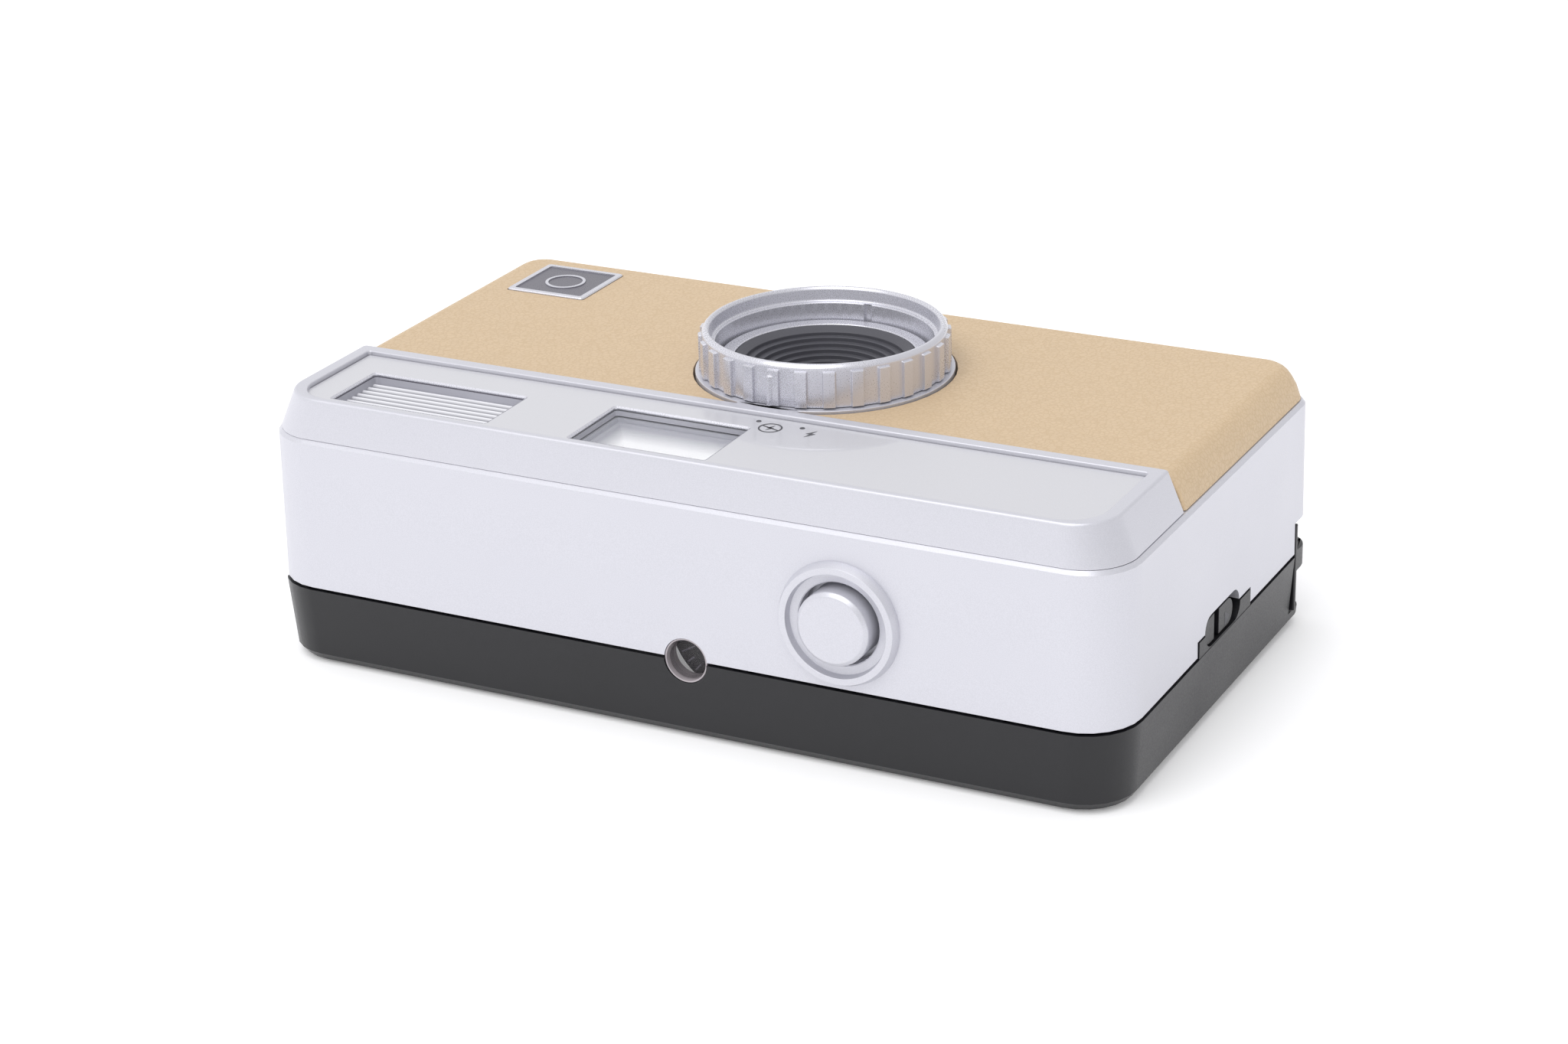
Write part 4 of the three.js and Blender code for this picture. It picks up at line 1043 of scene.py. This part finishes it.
class CAMERA_OT_stage(bpy.types.Operator):
    """Pale floor, soft studio light and the camera that looks at the object"""

    bl_idname = "half_frame.stage"
    bl_label = "Stage"

    AZIMUTH, ELEVATION, ROLL = (math.radians(v) for v in (27.44, 22.346, -1.461))
    STANDPOINT = (0.178196, -0.344662, 0.174407)
    LENS_MM = 80.21

    def execute(self, context):
        self.floor()
        self.light()
        self.eye(context.scene)
        return DONE

    def floor(self):
        """Round sheet on which the object lies: rings of radius R v^2."""
        v = np.linspace(0, 1, 24) ** 2 * 6000
        u = np.linspace(0, 2 * math.pi, 64, endpoint=False)
        x, y = np.cos(u)[:, None] * v, np.sin(u)[:, None] * v
        grid = np.stack([x, y, np.full_like(x, -0.05)], -1)
        sheet = bpy.data.objects.new("floor", grid_mesh("floor", [(grid, True, False, False)]))
        f = Finish("White paper", (0.9, 0.9, 0.9), 0.9, fixed=[
            ("Emission Color", (1.0, 1.0, 1.0, 1.0)), ("Emission Strength", 0.19)])
        fibre = f.noise(900.0, 3.0)
        f.feed("Base Color", f.blend(fibre, (0.89, 0.89, 0.895), (0.91, 0.91, 0.915)))
        sheet.data.materials.append(f.material)
        bpy.context.scene.collection.objects.link(sheet)

    def light(self):
        """Pale world that is a little brighter from -X, and one wide soft sun above the near side."""
        world = bpy.data.worlds.new("Studio")
        world.use_nodes = True
        nodes, links = world.node_tree.nodes, world.node_tree.links
        nodes["Background"].inputs["Color"].default_value = (0.985, 0.985, 1.0, 1)
        kinds = ("TexCoord", "SeparateXYZ", "MapRange")
        where, parts, fall = (nodes.new(f"ShaderNode{kind}") for kind in kinds)
        for socket, value in (("From Min", -1.0), ("From Max", 1.0), ("To Min", 1.04), ("To Max", 0.68)):
            fall.inputs[socket].default_value = value
        links.new(where.outputs["Generated"], parts.inputs[0])
        links.new(parts.outputs["X"], fall.inputs["Value"])
        links.new(fall.outputs["Result"], nodes["Background"].inputs["Strength"])
        bpy.context.scene.world = world
        sun = bpy.data.lights.new("key", "SUN")
        sun.energy, sun.angle = 1.31, math.radians(50)
        holder = bpy.data.objects.new("key", sun)
        back = np.array([-0.048, -0.503, 0.863])
        right = np.cross((0, 0, 1), back)
        right /= np.linalg.norm(right)
        holder.matrix_world = posed(right, np.cross(back, right), back, back)
        bpy.context.scene.collection.objects.link(holder)

    def eye(self, scene):
        """Looks along (-sin a cos e, cos a cos e, -sin e), then rolls about that line."""
        a, e, roll = self.AZIMUTH, self.ELEVATION, self.ROLL
        ahead = np.array([-math.sin(a) * math.cos(e), math.cos(a) * math.cos(e), -math.sin(e)])
        level = np.array([math.cos(a), math.sin(a), 0])
        upward = np.cross(level, ahead)
        right = math.cos(roll) * level + math.sin(roll) * upward
        up = math.cos(roll) * upward - math.sin(roll) * level
        data = bpy.data.cameras.new("eye")
        data.lens, data.sensor_width, data.sensor_fit = self.LENS_MM, 36.0, "HORIZONTAL"
        data.clip_start, data.clip_end = 0.02, 20.0
        camera = bpy.data.objects.new("eye", data)
        camera.matrix_world = posed(right, up, -ahead, self.STANDPOINT)
        scene.collection.objects.link(camera)
        scene.camera = camera
        scene.view_settings.view_transform = "Standard"
        scene.view_settings.look = "None"


# ---- Add-on ------------------------------------------------------------------------

OPERATORS = (
    CAMERA_OT_stage, CAMERA_OT_case, CAMERA_OT_panel, CAMERA_OT_back, CAMERA_OT_windows,
    CAMERA_OT_marks, CAMERA_OT_flash_ring, CAMERA_OT_lens, CAMERA_OT_button, CAMERA_OT_counter,
    CAMERA_OT_transport, CAMERA_OT_underside, CAMERA_OT_latch,
)


class CAMERA_PT_pieces(bpy.types.Panel):
    """Sidebar list of the sizes, colours and pieces"""

    bl_label = "Half frame camera"
    bl_idname = "CAMERA_PT_pieces"
    bl_space_type = "VIEW_3D"
    bl_region_type = "UI"
    bl_category = "Half frame camera"

    def draw(self, context):
        for group in (context.scene.camera_sizes, context.scene.camera_colours):
            for prop in group.__annotations__:
                self.layout.prop(group, prop)
        for operator in OPERATORS:
            self.layout.operator(operator.bl_idname)


CLASSES = (CameraColours, CameraSizes, *OPERATORS, CAMERA_PT_pieces)


def register():
    """Adds the classes and the scene's two groups of settings."""
    for cls in CLASSES:
        bpy.utils.register_class(cls)
    bpy.types.Scene.camera_colours = bpy.props.PointerProperty(type=CameraColours)
    bpy.types.Scene.camera_sizes = bpy.props.PointerProperty(type=CameraSizes)


def unregister():
    """Takes away what register adds, in the opposite order."""
    del bpy.types.Scene.camera_sizes
    del bpy.types.Scene.camera_colours
    for cls in reversed(CLASSES):
        bpy.utils.unregister_class(cls)


def main():
    """Builds every piece in turn."""
    register()
    for operator in OPERATORS:
        group, name = operator.bl_idname.split(".")
        getattr(getattr(bpy.ops, group), name)()


if __name__ == "__main__":
    main()
